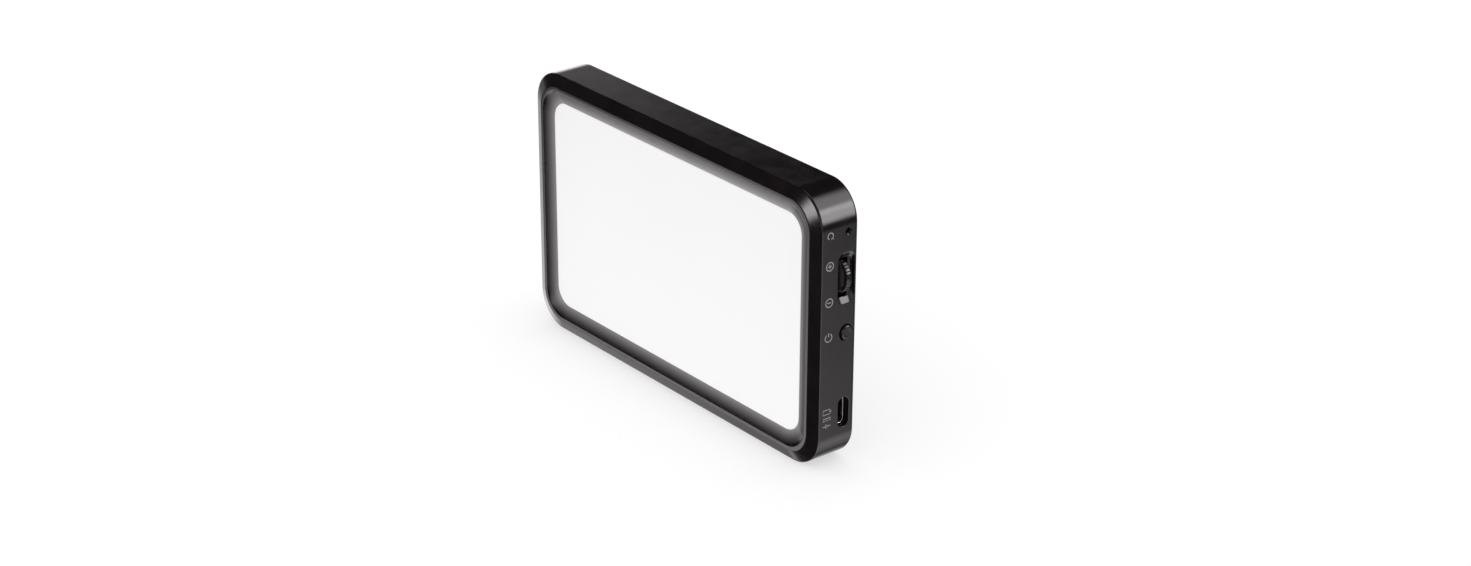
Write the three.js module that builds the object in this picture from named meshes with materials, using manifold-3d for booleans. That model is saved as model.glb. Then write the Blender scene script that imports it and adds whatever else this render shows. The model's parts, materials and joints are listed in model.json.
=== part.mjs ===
// A pocket light table: a thin black case with a glowing opal window on one side.
// It stands on its long edge. +X is to the right of the window, +Y runs from the
// window to the back, +Z is up. The origin is under the middle of the whole object.
//
// Each piece is drawn in the case's own frame: x = 0 at the middle of the window,
// y = 0 at the foremost plane of the frame (its crest) and z = 0 at the lower edge.

import * as THREE from 'three';
import { mergeVertices } from 'three/addons/utils/BufferGeometryUtils.js';
import Module from 'manifold-3d';

const wasm = await Module();
wasm.setup();

// ---------------------------------------------------------------- driving dimensions, mm

// The frame round the window, from the window outwards.
const WINDOW_WIDTH = 120;
const WINDOW_HEIGHT = 70;
const WINDOW_RADIUS = 6.1;
const SLOPE_WIDTH = 4.0; // inner slope, from the window up to the crest
const SLOPE_DEPTH = 1.45;
const CREST_WIDTH = 1.2;
const CREST_RADIUS_IN = 7.9;
const CREST_RADIUS_OUT = 8.7;
const CHAMFER_WIDTH = 3.7; // outer chamfer, from the crest down to the side walls
const CHAMFER_DEPTH = 1.35;

// The case.
const CASE_DEPTH = 15;
const CASE_RADIUS = 11;
const WALL = 2.4;
const BEZEL_BACK = 2.2; // depth of the frame's inner face
const BACK_FILLET = 1.0;
const COVER_THICKNESS = 1.0;
const COVER_RIM = 1.8; // width of the case's rim round the back cover
const GAP = 0.3; // between neighbouring pieces

// Controls on the right-hand wall. Heights are from the middle of the wall, depths from the crest.
const RESET = { height: 31.1, depth: 11.4, radius: 0.75, bevel: 0.45, travel: 0.25 };
const WHEEL = { height: 16.7, depth: 10.7, radius: 5.6, width: 2.0, proud: 1.6, teeth: 36, tooth: 0.3,
  rimInner: 4.6, web: 1.0, hubHole: 1.6 };
const SLOT = { front: 8.2, back: 12.1, tall: 12.4, radius: 0.5 }; // the wheel's way through the wall
const SCOOP = { front: 7.8, back: 13.9, tall: 16.2, deep: 1.0, ramp: 1.9, radius: 1.6 };
const BUTTON = { height: -0.7, depth: 11.4, radius: 2.3, hole: 2.6, proud: 0.6, edge: 0.5, travel: 0.6 };
const USB = { height: -26.5, depth: 10.95, recess: 1.8 }; // recess: from the wall's face to the shell
const USB_OPENING = { tall: 9.5, wide: 4.0, radius: 1.95 };
const USB_SHELL = { tall: 8.94, wide: 3.16, long: 7.4, wall: 0.3 };
const USB_TONGUE = { tall: 6.7, wide: 0.7, short: 0.9, rear: 1.6, clearance: 0.15 };

// The light stack behind the window: each layer's front, thickness and outline.
const DIFFUSER = { flangeFront: 2.5, flange: 1.8, w: 124, h: 76, r: 8 };
const FILM = { front: 4.6, t: 0.25, w: 122, h: 75, r: 7 };
const GUIDE = { front: 5.15, t: 2.5, w: 122, h: 76, r: 6 };
const REFLECTOR = { front: 7.85, t: 0.25, w: 122, h: 75, r: 7 };
const TRAY = { front: 8.4, t: 0.8, w: 124, flangeSpan: 117, flangeFront: 4.8, ear: 2.4 };
const LED = { count: 16, w: 3.2, d: 1.9, h: 0.9, fromGuide: 0.4 };
const STRIP = { w: 116, d: 2.7, t: 0.7 };
const FLEX = { x0: 46.5, x1: 51.5, t: 0.2, back: 11.6, notch: 0.5 };

// Electronics behind the tray. Heights of board components are from the case's lower edge.
const BOARD = { x0: 42, x1: 64.6, z0: 9.5, z1: 78.5, front: 13.0, t: 0.7, standoff: 1.8 };
const CONTROLLER_CHIP = { x: 48.5, z: 57.5, w: 6, h: 6, tall: 1.0 };
const CHARGER_CHIP = { x: 54.5, z: 24.5, w: 4, h: 4, tall: 0.9 };
const INDUCTOR = { x: 49, z: 27.5, w: 5, h: 5, tall: 2.6 };
const CAPACITORS = [[56.5, 75], [54.5, 14]];
const CAN = { radius: 2.4, tall: 2.6 };
const LED_SOCKET = { w: 6, h: 4, tall: 2.0, far: 32 }; // far: outer face, from the middle
const ENCODER = { radius: 3.2, rotor: 1.3, clearance: 0.4, base: 0.7, x0: 58.5, half: 4.0 };
const POWER_SWITCH = { depth: BUTTON.depth, front: 61.9, long: 4.2, half: 2.3, tall: 3.0, pocket: 1.8 };
const RESET_SWITCH = { depth: RESET.depth, front: 65.1, long: 3.4, half: 1.7, tall: 2.8, pocket: 1.2 };
const PLUNGER = { half: 0.5, clearance: 0.4, backOff: 0.2 };
const BUTTON_FLANGE = { t: 1.0, half: 4.3, d: 3.0 };
const BUTTON_STEM = { radius: 1.0, end: 63.2 };

// The battery, its guard board, and the plug and socket of its leads.
const CELL = { x0: -52, x1: 32, z0: 19, z1: 69, front: 10.2, t: 3.2, radius: 2, edge: 0.6 };
const PAD_INSET = 2;
const LEAD = { radius: 0.6, spread: 1.2, fan: 3, depth: 11.3, z: 43.2 };
const GUARD_BOARD = { wide: 3.5, half: 14, front: 10.9, back: 11.7 };
const PLUG = { x0: 43.4, x1: 48.9, half: 3, front: 10.7, back: 11.9 };
const BATTERY_SOCKET = { x: 50.8, w: 6, h: 8, tall: 2.8, mouthEnd: 49.5, mouthFront: 10.4, mouthBack: 12.2 };

// Fasteners and feet. A pilot is the hole that a screw bites in, a pass the one it goes through.
const COVER_SCREW = { head: 1.6, headDepth: 0.8, shank: 0.7, long: 8, pilot: 1.0, pass: 1.1, boss: 2.1 };
const TRAY_SCREW = { head: 1.7, headTall: 0.9, shank: 0.65, long: 4, pilot: 0.9, pass: 1.0, boss: 1.9 };
const BOARD_SCREW = { head: 1.6, headTall: 0.45, shank: 0.65, long: 3.5, pilot: 0.9, pass: 1.0 };
const COVER_SCREW_INSET = 6.8; // from the case's outer faces
const TRAY_BOSS_X = 64.7;
const TRAY_SCREWS = [[-TRAY_BOSS_X, 25], [-TRAY_BOSS_X, 63], [TRAY_BOSS_X, 30]];
const BOARD_SCREWS = [[45.2, 20.5], [45.2, 66.5], [57.5, 33.5]];
const CROSS = { slot: 0.25, reach: 0.6, depth: 0.5 }; // reach: as a share of the head's radius
const FOOT = { radius: 4, recess: 0.5, proud: 0.7, x: 50, fromMiddle: 28, edge: 0.3, clearance: 0.2 };

// ---------------------------------------------------------------- derived sizes

const FRAME_WIDTH = SLOPE_WIDTH + CREST_WIDTH + CHAMFER_WIDTH;
const WIDTH = WINDOW_WIDTH + 2 * FRAME_WIDTH;
const HEIGHT = WINDOW_HEIGHT + 2 * FRAME_WIDTH;
const MIDDLE = HEIGHT / 2;
const WALL_X = WIDTH / 2; // outer face of the right-hand wall
const INNER_X = WALL_X - WALL;
const COVER_FRONT = CASE_DEPTH - COVER_THICKNESS;
const LEDGE = COVER_FRONT - GAP;
const TRAY_BACK = TRAY.front + TRAY.t;
const PARTS_BACK = BOARD.front - GAP; // back of everything fitted to the board
const WHEEL_X = WALL_X + WHEEL.proud - WHEEL.radius;
const WHEEL_Z = MIDDLE + WHEEL.height;
const WHEEL_FRONT = WHEEL.depth - WHEEL.width / 2;
const RESET_Z = MIDDLE + RESET.height;
const BUTTON_Z = MIDDLE + BUTTON.height;
const USB_Z = MIDDLE + USB.height;
const USB_MOUTH = WALL_X - USB.recess;
const USB_REAR = USB_MOUTH - USB_SHELL.long;
const SIDES = [-1, 1];
const COVER_SCREWS = SIDES.flatMap((sx) => SIDES.map((sz) => [
  sx * (WALL_X - COVER_SCREW_INSET),
  MIDDLE + sz * (MIDDLE - COVER_SCREW_INSET),
]));
const FEET = SIDES.flatMap((sx) => SIDES.map((sz) => [
  sx * FOOT.x,
  MIDDLE + sz * FOOT.fromMiddle,
]));

// ---------------------------------------------------------------- materials

const BLACK_CASE = { color: 0x1b1b1d, roughness: 0.38, metalness: 0.0 };
const BLACK_PLASTIC = { color: 0x242426, roughness: 0.5, metalness: 0.0 };
const OPAL = { color: 0xf7f7f5, roughness: 0.35, metalness: 0.0 };
const WHITE_SHEET = { color: 0xf2f2ef, roughness: 0.8, metalness: 0.0 };
const CLEAR_ACRYLIC = { color: 0xdfeaf0, roughness: 0.1, metalness: 0.0 };
const ALUMINIUM = { color: 0xb9bcc0, roughness: 0.4, metalness: 1.0 };
const STEEL = { color: 0xa5a7aa, roughness: 0.3, metalness: 1.0 };
const BLACK_STEEL = { color: 0x2c2c2e, roughness: 0.4, metalness: 0.8 };
const BRASS = { color: 0xc8a85a, roughness: 0.35, metalness: 1.0 };
const RUBBER = { color: 0x151515, roughness: 0.9, metalness: 0.0 };
const GREEN_BOARD = { color: 0x1f5a34, roughness: 0.5, metalness: 0.0 };
const WHITE_PLASTIC = { color: 0xe6e3da, roughness: 0.55, metalness: 0.0 };
const FOIL = { color: 0xc9ccd1, roughness: 0.45, metalness: 0.7 };
const FERRITE = { color: 0x3a3b3f, roughness: 0.7, metalness: 0.0 };
const RED_LEAD = { color: 0xb3241c, roughness: 0.5, metalness: 0.0 };
const FOAM = { color: 0x5b5d61, roughness: 0.95, metalness: 0.0 };
const AMBER_FLEX = { color: 0xb5772a, roughness: 0.4, metalness: 0.0 };

// ---------------------------------------------------------------- solids from three.js geometry

function solidOf(geometry) {
  const bare = geometry.clone();
  bare.deleteAttribute('normal');
  bare.deleteAttribute('uv');
  const merged = mergeVertices(bare, 1e-4);
  const corners = merged.index.array;
  const triangles = [];
  for (let i = 0; i < corners.length; i += 3) {
    const [a, b, c] = [corners[i], corners[i + 1], corners[i + 2]];
    if (a !== b && b !== c && c !== a) triangles.push(a, b, c);
  }
  return new wasm.Manifold(new wasm.Mesh({
    numProp: 3,
    vertProperties: new Float32Array(merged.attributes.position.array),
    triVerts: new Uint32Array(triangles),
  }));
}

function geometryOf(solid) {
  const { vertProperties, triVerts } = solid.getMesh();
  const geometry = new THREE.BufferGeometry();
  geometry.setAttribute('position', new THREE.BufferAttribute(vertProperties, 3));
  geometry.setIndex(new THREE.BufferAttribute(triVerts, 1));
  geometry.computeVertexNormals();
  return geometry;
}

const join = (first, ...others) => others.reduce((whole, solid) => whole.add(solid), first);
const cut = (first, ...tools) => tools.reduce((rest, tool) => rest.subtract(tool), first);

// Heights z0 and z1 above the middle: as they are for side 1, mirrored below it for side -1.
function mirrored(side, z0, z1) {
  const [a, b] = [MIDDLE + side * z0, MIDDLE + side * z1];
  return [Math.min(a, b), Math.max(a, b)];
}

// A block between two opposite corners.
function block([x0, y0, z0], [x1, y1, z1]) {
  const box = new THREE.BoxGeometry(x1 - x0, y1 - y0, z1 - z0);
  return solidOf(box.translate((x0 + x1) / 2, (y0 + y1) / 2, (z0 + z1) / 2));
}

function rodAlongY(radius, x, z, y0, y1, sides = 24) {
  const rod = new THREE.CylinderGeometry(radius, radius, y1 - y0, sides);
  return solidOf(rod.translate(x, (y0 + y1) / 2, z));
}

// Along X, with a radius at each end.
function coneAlongX(r0, r1, y, z, x0, x1, sides = 32) {
  const cone = new THREE.CylinderGeometry(r0, r1, x1 - x0, sides);
  return solidOf(cone.rotateZ(Math.PI / 2).translate((x0 + x1) / 2, y, z));
}

const rodAlongX = (radius, y, z, x0, x1, sides) => coneAlongX(radius, radius, y, z, x0, x1, sides);

// A rectangle with round corners, centred on (u, v).
function roundedRect(w, h, r, u = 0, v = 0) {
  const shape = new THREE.Shape();
  const [a, b] = [w / 2 - r, h / 2 - r];
  const quarter = Math.PI / 2;
  shape.absarc(u + a, v + b, r, 0, quarter);
  shape.absarc(u - a, v + b, r, quarter, 2 * quarter);
  shape.absarc(u - a, v - b, r, 2 * quarter, 3 * quarter);
  shape.absarc(u + a, v - b, r, 3 * quarter, 4 * quarter);
  shape.closePath();
  return shape;
}

const CORNER_STEPS = 8;
const extrude = (shape, depth) => new THREE.ExtrudeGeometry(shape, {
  depth,
  bevelEnabled: false,
  curveSegments: CORNER_STEPS / 2,
});

// A shape drawn in x and z, filled from y0 to y1.
function slab(shape, y0, y1) {
  const turn = new THREE.Matrix4().makeBasis(
    new THREE.Vector3(1, 0, 0), new THREE.Vector3(0, 0, 1), new THREE.Vector3(0, -1, 0));
  return solidOf(extrude(shape, y1 - y0).applyMatrix4(turn).translate(0, y1, 0));
}

// A shape drawn in y and z, filled from x0 to x1.
function sideSlab(shape, x0, x1) {
  const turn = new THREE.Matrix4().makeBasis(
    new THREE.Vector3(0, 1, 0), new THREE.Vector3(0, 0, 1), new THREE.Vector3(1, 0, 0));
  return solidOf(extrude(shape, x1 - x0).applyMatrix4(turn).translate(x0, 0, 0));
}

// A solid of revolution. The profile lists radius and place along the axis, lowest first.
const latheOf = (profile, sides) => new THREE.LatheGeometry(
  profile.map(([radius, along]) => new THREE.Vector2(radius, along)), sides);
const turned = (profile, sides = 20) => solidOf(latheOf(profile, sides));
const turnedAlongX = (profile, sides = 32) => solidOf(latheOf(profile, sides).rotateZ(-Math.PI / 2));

// A solid skinned over round-cornered rectangles, listed from front to back.
function loft(rings) {
  const positions = [];
  const ringSize = 4 * (CORNER_STEPS + 1);
  for (const { y, w, h, r } of rings) {
    for (let corner = 0; corner < 4; corner += 1) {
      const signX = corner === 0 || corner === 3 ? 1 : -1;
      const signZ = corner < 2 ? 1 : -1;
      for (let step = 0; step <= CORNER_STEPS; step += 1) {
        const angle = (corner + step / CORNER_STEPS) * Math.PI / 2;
        positions.push(
          signX * (w / 2 - r) + r * Math.cos(angle),
          y,
          MIDDLE + signZ * (h / 2 - r) + r * Math.sin(angle));
      }
    }
  }
  const last = rings.length - 1;
  const frontHub = rings.length * ringSize;
  const backHub = frontHub + 1;
  positions.push(0, rings[0].y, MIDDLE, 0, rings[last].y, MIDDLE);
  const triangles = [];
  for (let j = 0; j < ringSize; j += 1) {
    const next = (j + 1) % ringSize;
    triangles.push(frontHub, j, next);
    triangles.push(backHub, last * ringSize + next, last * ringSize + j);
    for (let k = 0; k < last; k += 1) {
      const [a, b] = [k * ringSize + j, k * ringSize + next];
      const [c, d] = [b + ringSize, a + ringSize];
      triangles.push(a, d, c, a, c, b);
    }
  }
  const geometry = new THREE.BufferGeometry();
  geometry.setAttribute('position', new THREE.Float32BufferAttribute(positions, 3));
  geometry.setIndex(triangles);
  return solidOf(geometry);
}

// ---------------------------------------------------------------- the assembly

const lightTable = new THREE.Group();
lightTable.name = 'pocket_light_table';
const caseFrame = new THREE.Group();
caseFrame.position.set(-WHEEL.proud / 2, -(CASE_DEPTH + FOOT.proud) / 2, 0);
lightTable.add(caseFrame);

function add(name, solid, look, [x, y, z] = [0, 0, 0]) {
  const mesh = new THREE.Mesh(geometryOf(solid), new THREE.MeshStandardMaterial(look));
  mesh.name = name;
  mesh.position.set(x, y, z);
  caseFrame.add(mesh);
}

// ---------------------------------------------------------------- case

function caseSkin() {
  const ring = (y, inset, r) => ({ y, w: WIDTH - 2 * inset, h: HEIGHT - 2 * inset, r });
  const rings = [
    ring(0, CHAMFER_WIDTH, CREST_RADIUS_OUT),
    ring(CHAMFER_DEPTH, 0, CASE_RADIUS),
  ];
  const filletSteps = 4;
  for (let step = 0; step <= filletSteps; step += 1) {
    const angle = (step / filletSteps) * Math.PI / 2;
    const inset = BACK_FILLET * (1 - Math.cos(angle));
    const y = CASE_DEPTH - BACK_FILLET * (1 - Math.sin(angle));
    rings.push(ring(y, inset, CASE_RADIUS - inset));
  }
  return loft(rings);
}

// The sloped mouth round the window, carried on past the crest so that it cuts clean.
function windowMouth() {
  const past = 0.4;
  const grow = (1 + past) * SLOPE_WIDTH;
  const crestGrow = CREST_RADIUS_IN - WINDOW_RADIUS;
  const opening = { w: WINDOW_WIDTH, h: WINDOW_HEIGHT, r: WINDOW_RADIUS };
  return loft([
    {
      y: -past * SLOPE_DEPTH,
      w: WINDOW_WIDTH + 2 * grow,
      h: WINDOW_HEIGHT + 2 * grow,
      r: WINDOW_RADIUS + (1 + past) * crestGrow,
    },
    { ...opening, y: SLOPE_DEPTH },
    { ...opening, y: BEZEL_BACK + 1 },
  ]);
}

// A shallow dish round the wheel, with a ramp at each end.
function wheelScoop() {
  const outside = WALL_X + 1;
  const half = SCOOP.tall / 2;
  const floor = WALL_X - SCOOP.deep;
  const rampPast = SCOOP.ramp * (outside - WALL_X) / SCOOP.deep;
  const side = new THREE.Shape([
    new THREE.Vector2(outside, WHEEL_Z - half - rampPast),
    new THREE.Vector2(outside, WHEEL_Z + half + rampPast),
    new THREE.Vector2(floor, WHEEL_Z + half - SCOOP.ramp),
    new THREE.Vector2(floor, WHEEL_Z - half + SCOOP.ramp),
  ]);
  const ramps = slab(side, 0, CASE_DEPTH);
  return ramps.intersect(wallCut(SCOOP, WHEEL_Z, floor - 1, outside));
}

// A round-cornered hole through the right-hand wall, between two depths.
function wallCut({ front, back, tall, radius }, z, x0, x1) {
  return sideSlab(roundedRect(back - front, tall, radius, (front + back) / 2, z), x0, x1);
}

function frontHousing() {
  const inner = { w: WIDTH - 2 * WALL, h: HEIGHT - 2 * WALL, r: CASE_RADIUS - WALL };
  const rim = {
    w: WIDTH - 2 * COVER_RIM,
    h: HEIGHT - 2 * COVER_RIM,
    r: CASE_RADIUS - COVER_RIM,
  };
  const hollow = loft([{ ...inner, y: BEZEL_BACK }, { ...inner, y: CASE_DEPTH + 1 }]);
  const coverSeat = loft([{ ...rim, y: LEDGE }, { ...rim, y: CASE_DEPTH + 1 }]);
  let housing = cut(caseSkin(), windowMouth(), hollow, coverSeat);

  const bossFront = BEZEL_BACK - 0.5;
  const pilotFront = BEZEL_BACK + 1.8;
  for (const [x, z] of COVER_SCREWS) {
    housing = housing.add(rodAlongY(COVER_SCREW.boss, x, z, bossFront, LEDGE));
    housing = housing.subtract(rodAlongY(COVER_SCREW.pilot, x, z, pilotFront, LEDGE + 1, 16));
  }
  for (const [x, z] of TRAY_SCREWS) {
    housing = housing.add(rodAlongY(TRAY_SCREW.boss, x, z, bossFront, TRAY.front - GAP));
    housing = housing.subtract(rodAlongY(TRAY_SCREW.pilot, x, z, pilotFront, TRAY.front, 16));
  }

  const [inside, outside] = [INNER_X - 1, WALL_X + 1];
  const bevel = coneAlongX(RESET.radius, RESET.radius + 2 * RESET.bevel, RESET.depth, RESET_Z,
    WALL_X - RESET.bevel, WALL_X + RESET.bevel, 20);
  const usbOpening = roundedRect(USB_OPENING.wide, USB_OPENING.tall, USB_OPENING.radius, USB.depth, USB_Z);
  return cut(
    housing,
    rodAlongX(RESET.radius, RESET.depth, RESET_Z, inside, outside, 20),
    bevel,
    wheelScoop(),
    wallCut(SLOT, WHEEL_Z, inside, outside),
    rodAlongX(BUTTON.hole, BUTTON.depth, BUTTON_Z, inside, outside),
    sideSlab(usbOpening, inside, outside),
  );
}

function backCover() {
  const inset = COVER_RIM + GAP;
  const outline = roundedRect(WIDTH - 2 * inset, HEIGHT - 2 * inset, CASE_RADIUS - inset, 0, MIDDLE);
  let cover = slab(outline, COVER_FRONT, CASE_DEPTH);
  const seatRadius = COVER_SCREW.head + 0.25;
  const seatFront = COVER_FRONT - 0.5;
  const seat = turned([
    [0, seatFront],
    [seatRadius - (CASE_DEPTH - seatFront), seatFront],
    [seatRadius, CASE_DEPTH],
    [seatRadius, CASE_DEPTH + 1],
    [0, CASE_DEPTH + 1],
  ]);
  for (const [x, z] of COVER_SCREWS) {
    cover = cover.subtract(seat.translate([x, 0, z]));
    cover = cover.subtract(rodAlongY(COVER_SCREW.pass, x, z, COVER_FRONT - 1, CASE_DEPTH));
  }
  for (const [x, z] of FEET) {
    cover = cover.subtract(rodAlongY(FOOT.radius + FOOT.clearance, x, z,
      CASE_DEPTH - FOOT.recess, CASE_DEPTH + 1, 32));
  }
  const headRoom = { radius: BOARD_SCREW.head + 0.6, depth: 0.5 };
  for (const [x, z] of BOARD_SCREWS) {
    cover = cover.subtract(rodAlongY(headRoom.radius, x, z, COVER_FRONT - 1, COVER_FRONT + headRoom.depth));
  }
  return cover;
}

// A cross recess for a driver, cut into a head whose top is at y = top.
function crossRecess(headRadius, top, depth) {
  const reach = CROSS.reach * headRadius;
  return join(
    block([-reach, top - depth, -CROSS.slot], [reach, top + 1, CROSS.slot]),
    block([-CROSS.slot, top - depth, -reach], [CROSS.slot, top + 1, reach]),
  );
}

// Head flush at y = 0, shank towards the front.
function countersunkScrew({ head, headDepth, shank, long }) {
  const [point, rim, top] = [0.5, 0.12, 0.02];
  const profile = [
    [0, -long],
    [shank, -long + point],
    [shank, -headDepth],
    [head, -rim],
    [head, -top],
    [0, -top],
  ];
  return cut(turned(profile), crossRecess(head, 0, CROSS.depth));
}

// Head's under-face just behind y = 0, shank towards the front.
function wideHeadScrew({ head, headTall, shank, long }) {
  const [point, under] = [0.4, 0.05];
  const profile = [
    [0, -long],
    [shank, -long + point],
    [shank, under],
    [head, under],
    [head, headTall * 0.7],
    [head * 0.8, headTall],
    [0, headTall],
  ];
  return cut(turned(profile), crossRecess(head, headTall, headTall / 2));
}

function foot() {
  const [front, back] = [CASE_DEPTH - FOOT.recess + 0.1, CASE_DEPTH + FOOT.proud];
  const profile = [
    [0, front],
    [FOOT.radius, front],
    [FOOT.radius, back - FOOT.edge],
    [FOOT.radius - FOOT.edge, back],
    [0, back],
  ];
  return turned(profile, 32);
}

add('front_housing', frontHousing(), BLACK_CASE);
add('back_cover', backCover(), BLACK_CASE);
COVER_SCREWS.forEach(([x, z], i) => {
  add(`cover_screw_${i + 1}`, countersunkScrew(COVER_SCREW), BLACK_STEEL, [x, CASE_DEPTH, z]);
});
FEET.forEach(([x, z], i) => {
  add(`foot_${i + 1}`, foot(), RUBBER, [x, 0, z]);
});

// ---------------------------------------------------------------- light stack

// The opal panel: a plateau that fills the window, on a flange behind the frame.
function diffuserPanel() {
  const back = DIFFUSER.flangeFront + DIFFUSER.flange;
  const plateau = roundedRect(WINDOW_WIDTH - 2 * GAP, WINDOW_HEIGHT - 2 * GAP,
    WINDOW_RADIUS - GAP, 0, MIDDLE);
  const flange = roundedRect(DIFFUSER.w, DIFFUSER.h, DIFFUSER.r, 0, MIDDLE);
  return join(slab(flange, DIFFUSER.flangeFront, back), slab(plateau, SLOPE_DEPTH + 0.05, back));
}

const sheet = ({ front, t, w, h, r }) => slab(roundedRect(w, h, r, 0, MIDDLE), front, front + t);

// Distances from the middle to the lamps' tips, their strip, and the tray's flange behind it.
const LAMP_REACH = GUIDE.h / 2 + LED.fromGuide;
const STRIP_REACH = LAMP_REACH + LED.h;
const FLANGE_REACH = STRIP_REACH + STRIP.t + GAP;
const TRAY_REACH = FLANGE_REACH + TRAY.t;
const FLEX_REACH = STRIP_REACH + 0.2;
const STRIP_FRONT = GUIDE.front + GUIDE.t / 2 - STRIP.d / 2;
const STRIP_BACK = STRIP_FRONT + STRIP.d;

// Lamps along one long edge of the guide plate. side is 1 for the top, -1 for the bottom.
function ledStrip(side) {
  const middleY = (STRIP_FRONT + STRIP_BACK) / 2;
  const [carrier0, carrier1] = mirrored(side, STRIP_REACH, STRIP_REACH + STRIP.t);
  const [lamp0, lamp1] = mirrored(side, LAMP_REACH, STRIP_REACH + 0.1);
  let strip = block([-STRIP.w / 2, STRIP_FRONT, carrier0], [STRIP.w / 2, STRIP_BACK, carrier1]);
  const pitch = STRIP.w / LED.count;
  for (let i = 0; i < LED.count; i += 1) {
    const x = (i - (LED.count - 1) / 2) * pitch;
    strip = strip.add(block([x - LED.w / 2, middleY - LED.d / 2, lamp0],
      [x + LED.w / 2, middleY + LED.d / 2, lamp1]));
  }
  return strip;
}

// A flat tail from a lamp strip, back past the tray and round to its socket on the board.
function flexTail(side) {
  const outer = FLEX_REACH + FLEX.t;
  const [run0, run1] = mirrored(side, FLEX_REACH, outer);
  const [drop0, drop1] = mirrored(side, LED_SOCKET.far + GAP, outer);
  return join(
    block([FLEX.x0, STRIP_BACK + GAP, run0], [FLEX.x1, FLEX.back, run1]),
    block([FLEX.x0, FLEX.back - FLEX.t, drop0], [FLEX.x1, FLEX.back, drop1]),
  );
}

// The tray carries the stack: a plate with a flange behind each lamp strip.
function tray() {
  const halfGuide = GUIDE.h / 2;
  const halfSpan = TRAY.flangeSpan / 2;
  let plate = join(
    block([-TRAY.w / 2, TRAY.front, MIDDLE - halfGuide], [TRAY.w / 2, TRAY_BACK, MIDDLE + halfGuide]),
    block([-halfSpan, TRAY.front, MIDDLE - TRAY_REACH], [halfSpan, TRAY_BACK, MIDDLE + TRAY_REACH]),
  );
  for (const side of SIDES) {
    const [flange0, flange1] = mirrored(side, FLANGE_REACH, TRAY_REACH);
    plate = plate.add(block([-halfSpan, TRAY.flangeFront, flange0], [halfSpan, TRAY_BACK, flange1]));
  }
  for (const [x, z] of TRAY_SCREWS) {
    const root = Math.sign(x) * (TRAY.w / 2 - 2);
    plate = plate.add(block([Math.min(root, x), TRAY.front, z - TRAY.ear],
      [Math.max(root, x), TRAY_BACK, z + TRAY.ear]));
    plate = plate.subtract(rodAlongY(TRAY_SCREW.pass, x, z, TRAY.front - 1, TRAY_BACK + 1, 20));
  }
  for (const [x, z] of COVER_SCREWS) {
    plate = plate.subtract(rodAlongY(COVER_SCREW.boss + 0.5, x, z, TRAY.flangeFront, TRAY_BACK + 1));
  }
  for (const [x, z] of BOARD_SCREWS) {
    plate = plate.add(rodAlongY(BOARD.standoff, x, z, TRAY_BACK - 0.2, PARTS_BACK, 20));
    plate = plate.subtract(rodAlongY(BOARD_SCREW.pilot, x, z, TRAY.front - 1, PARTS_BACK + 1, 16));
  }
  for (const side of SIDES) {
    const [notch0, notch1] = mirrored(side, FLEX_REACH - FLEX.notch, FLEX_REACH + FLEX.t + FLEX.notch);
    plate = plate.subtract(block([FLEX.x0 - FLEX.notch, TRAY.front - 1, notch0],
      [FLEX.x1 + FLEX.notch, TRAY_BACK + 1, notch1]));
  }
  return plate;
}

add('diffuser_panel', diffuserPanel(), OPAL);
add('diffusion_film', sheet(FILM), WHITE_SHEET);
add('light_guide_plate', sheet(GUIDE), CLEAR_ACRYLIC);
add('reflector_sheet', sheet(REFLECTOR), WHITE_SHEET);
for (const [end, side] of [['top', 1], ['bottom', -1]]) {
  add(`led_strip_${end}`, ledStrip(side), WHITE_PLASTIC);
  add(`led_flex_${end}`, flexTail(side), AMBER_FLEX);
}
add('stack_tray', tray(), ALUMINIUM);
TRAY_SCREWS.forEach(([x, z], i) => {
  add(`tray_screw_${i + 1}`, wideHeadScrew(TRAY_SCREW), STEEL, [x, TRAY_BACK + 0.05, z]);
});

// ---------------------------------------------------------------- circuit board

function mainBoard() {
  const back = BOARD.front + BOARD.t;
  let board = block([BOARD.x0, BOARD.front, BOARD.z0], [BOARD.x1, back, BOARD.z1]);
  for (const [x, z] of BOARD_SCREWS) {
    board = board.subtract(rodAlongY(BOARD_SCREW.pass, x, z, BOARD.front - 1, back + 1, 16));
  }
  return board;
}

// A component fitted to the front of the board, centred on (x, z).
const onBoard = ({ x, z, w, h, tall }) => block(
  [x - w / 2, PARTS_BACK - tall, z - h / 2], [x + w / 2, PARTS_BACK, z + h / 2]);

add('main_board', mainBoard(), GREEN_BOARD);
BOARD_SCREWS.forEach(([x, z], i) => {
  add(`board_screw_${i + 1}`, wideHeadScrew(BOARD_SCREW), STEEL, [x, BOARD.front + BOARD.t, z]);
});
add('controller_chip', onBoard(CONTROLLER_CHIP), BLACK_PLASTIC);
add('charger_chip', onBoard(CHARGER_CHIP), BLACK_PLASTIC);
add('power_inductor', onBoard(INDUCTOR), FERRITE);
CAPACITORS.forEach(([x, z], i) => {
  add(`capacitor_${i + 1}`, rodAlongY(CAN.radius, x, z, PARTS_BACK - CAN.tall, PARTS_BACK, 20), ALUMINIUM);
});
for (const [end, side] of [['top', 1], ['bottom', -1]]) {
  const x = (FLEX.x0 + FLEX.x1) / 2;
  const z = MIDDLE + side * (LED_SOCKET.far - LED_SOCKET.h / 2);
  add(`led_socket_${end}`, onBoard({ ...LED_SOCKET, x, z }), WHITE_PLASTIC);
}

// ---------------------------------------------------------------- battery

const GUARD_X0 = CELL.x1 + GAP;
const GUARD_X1 = GUARD_X0 + GUARD_BOARD.wide;

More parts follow.
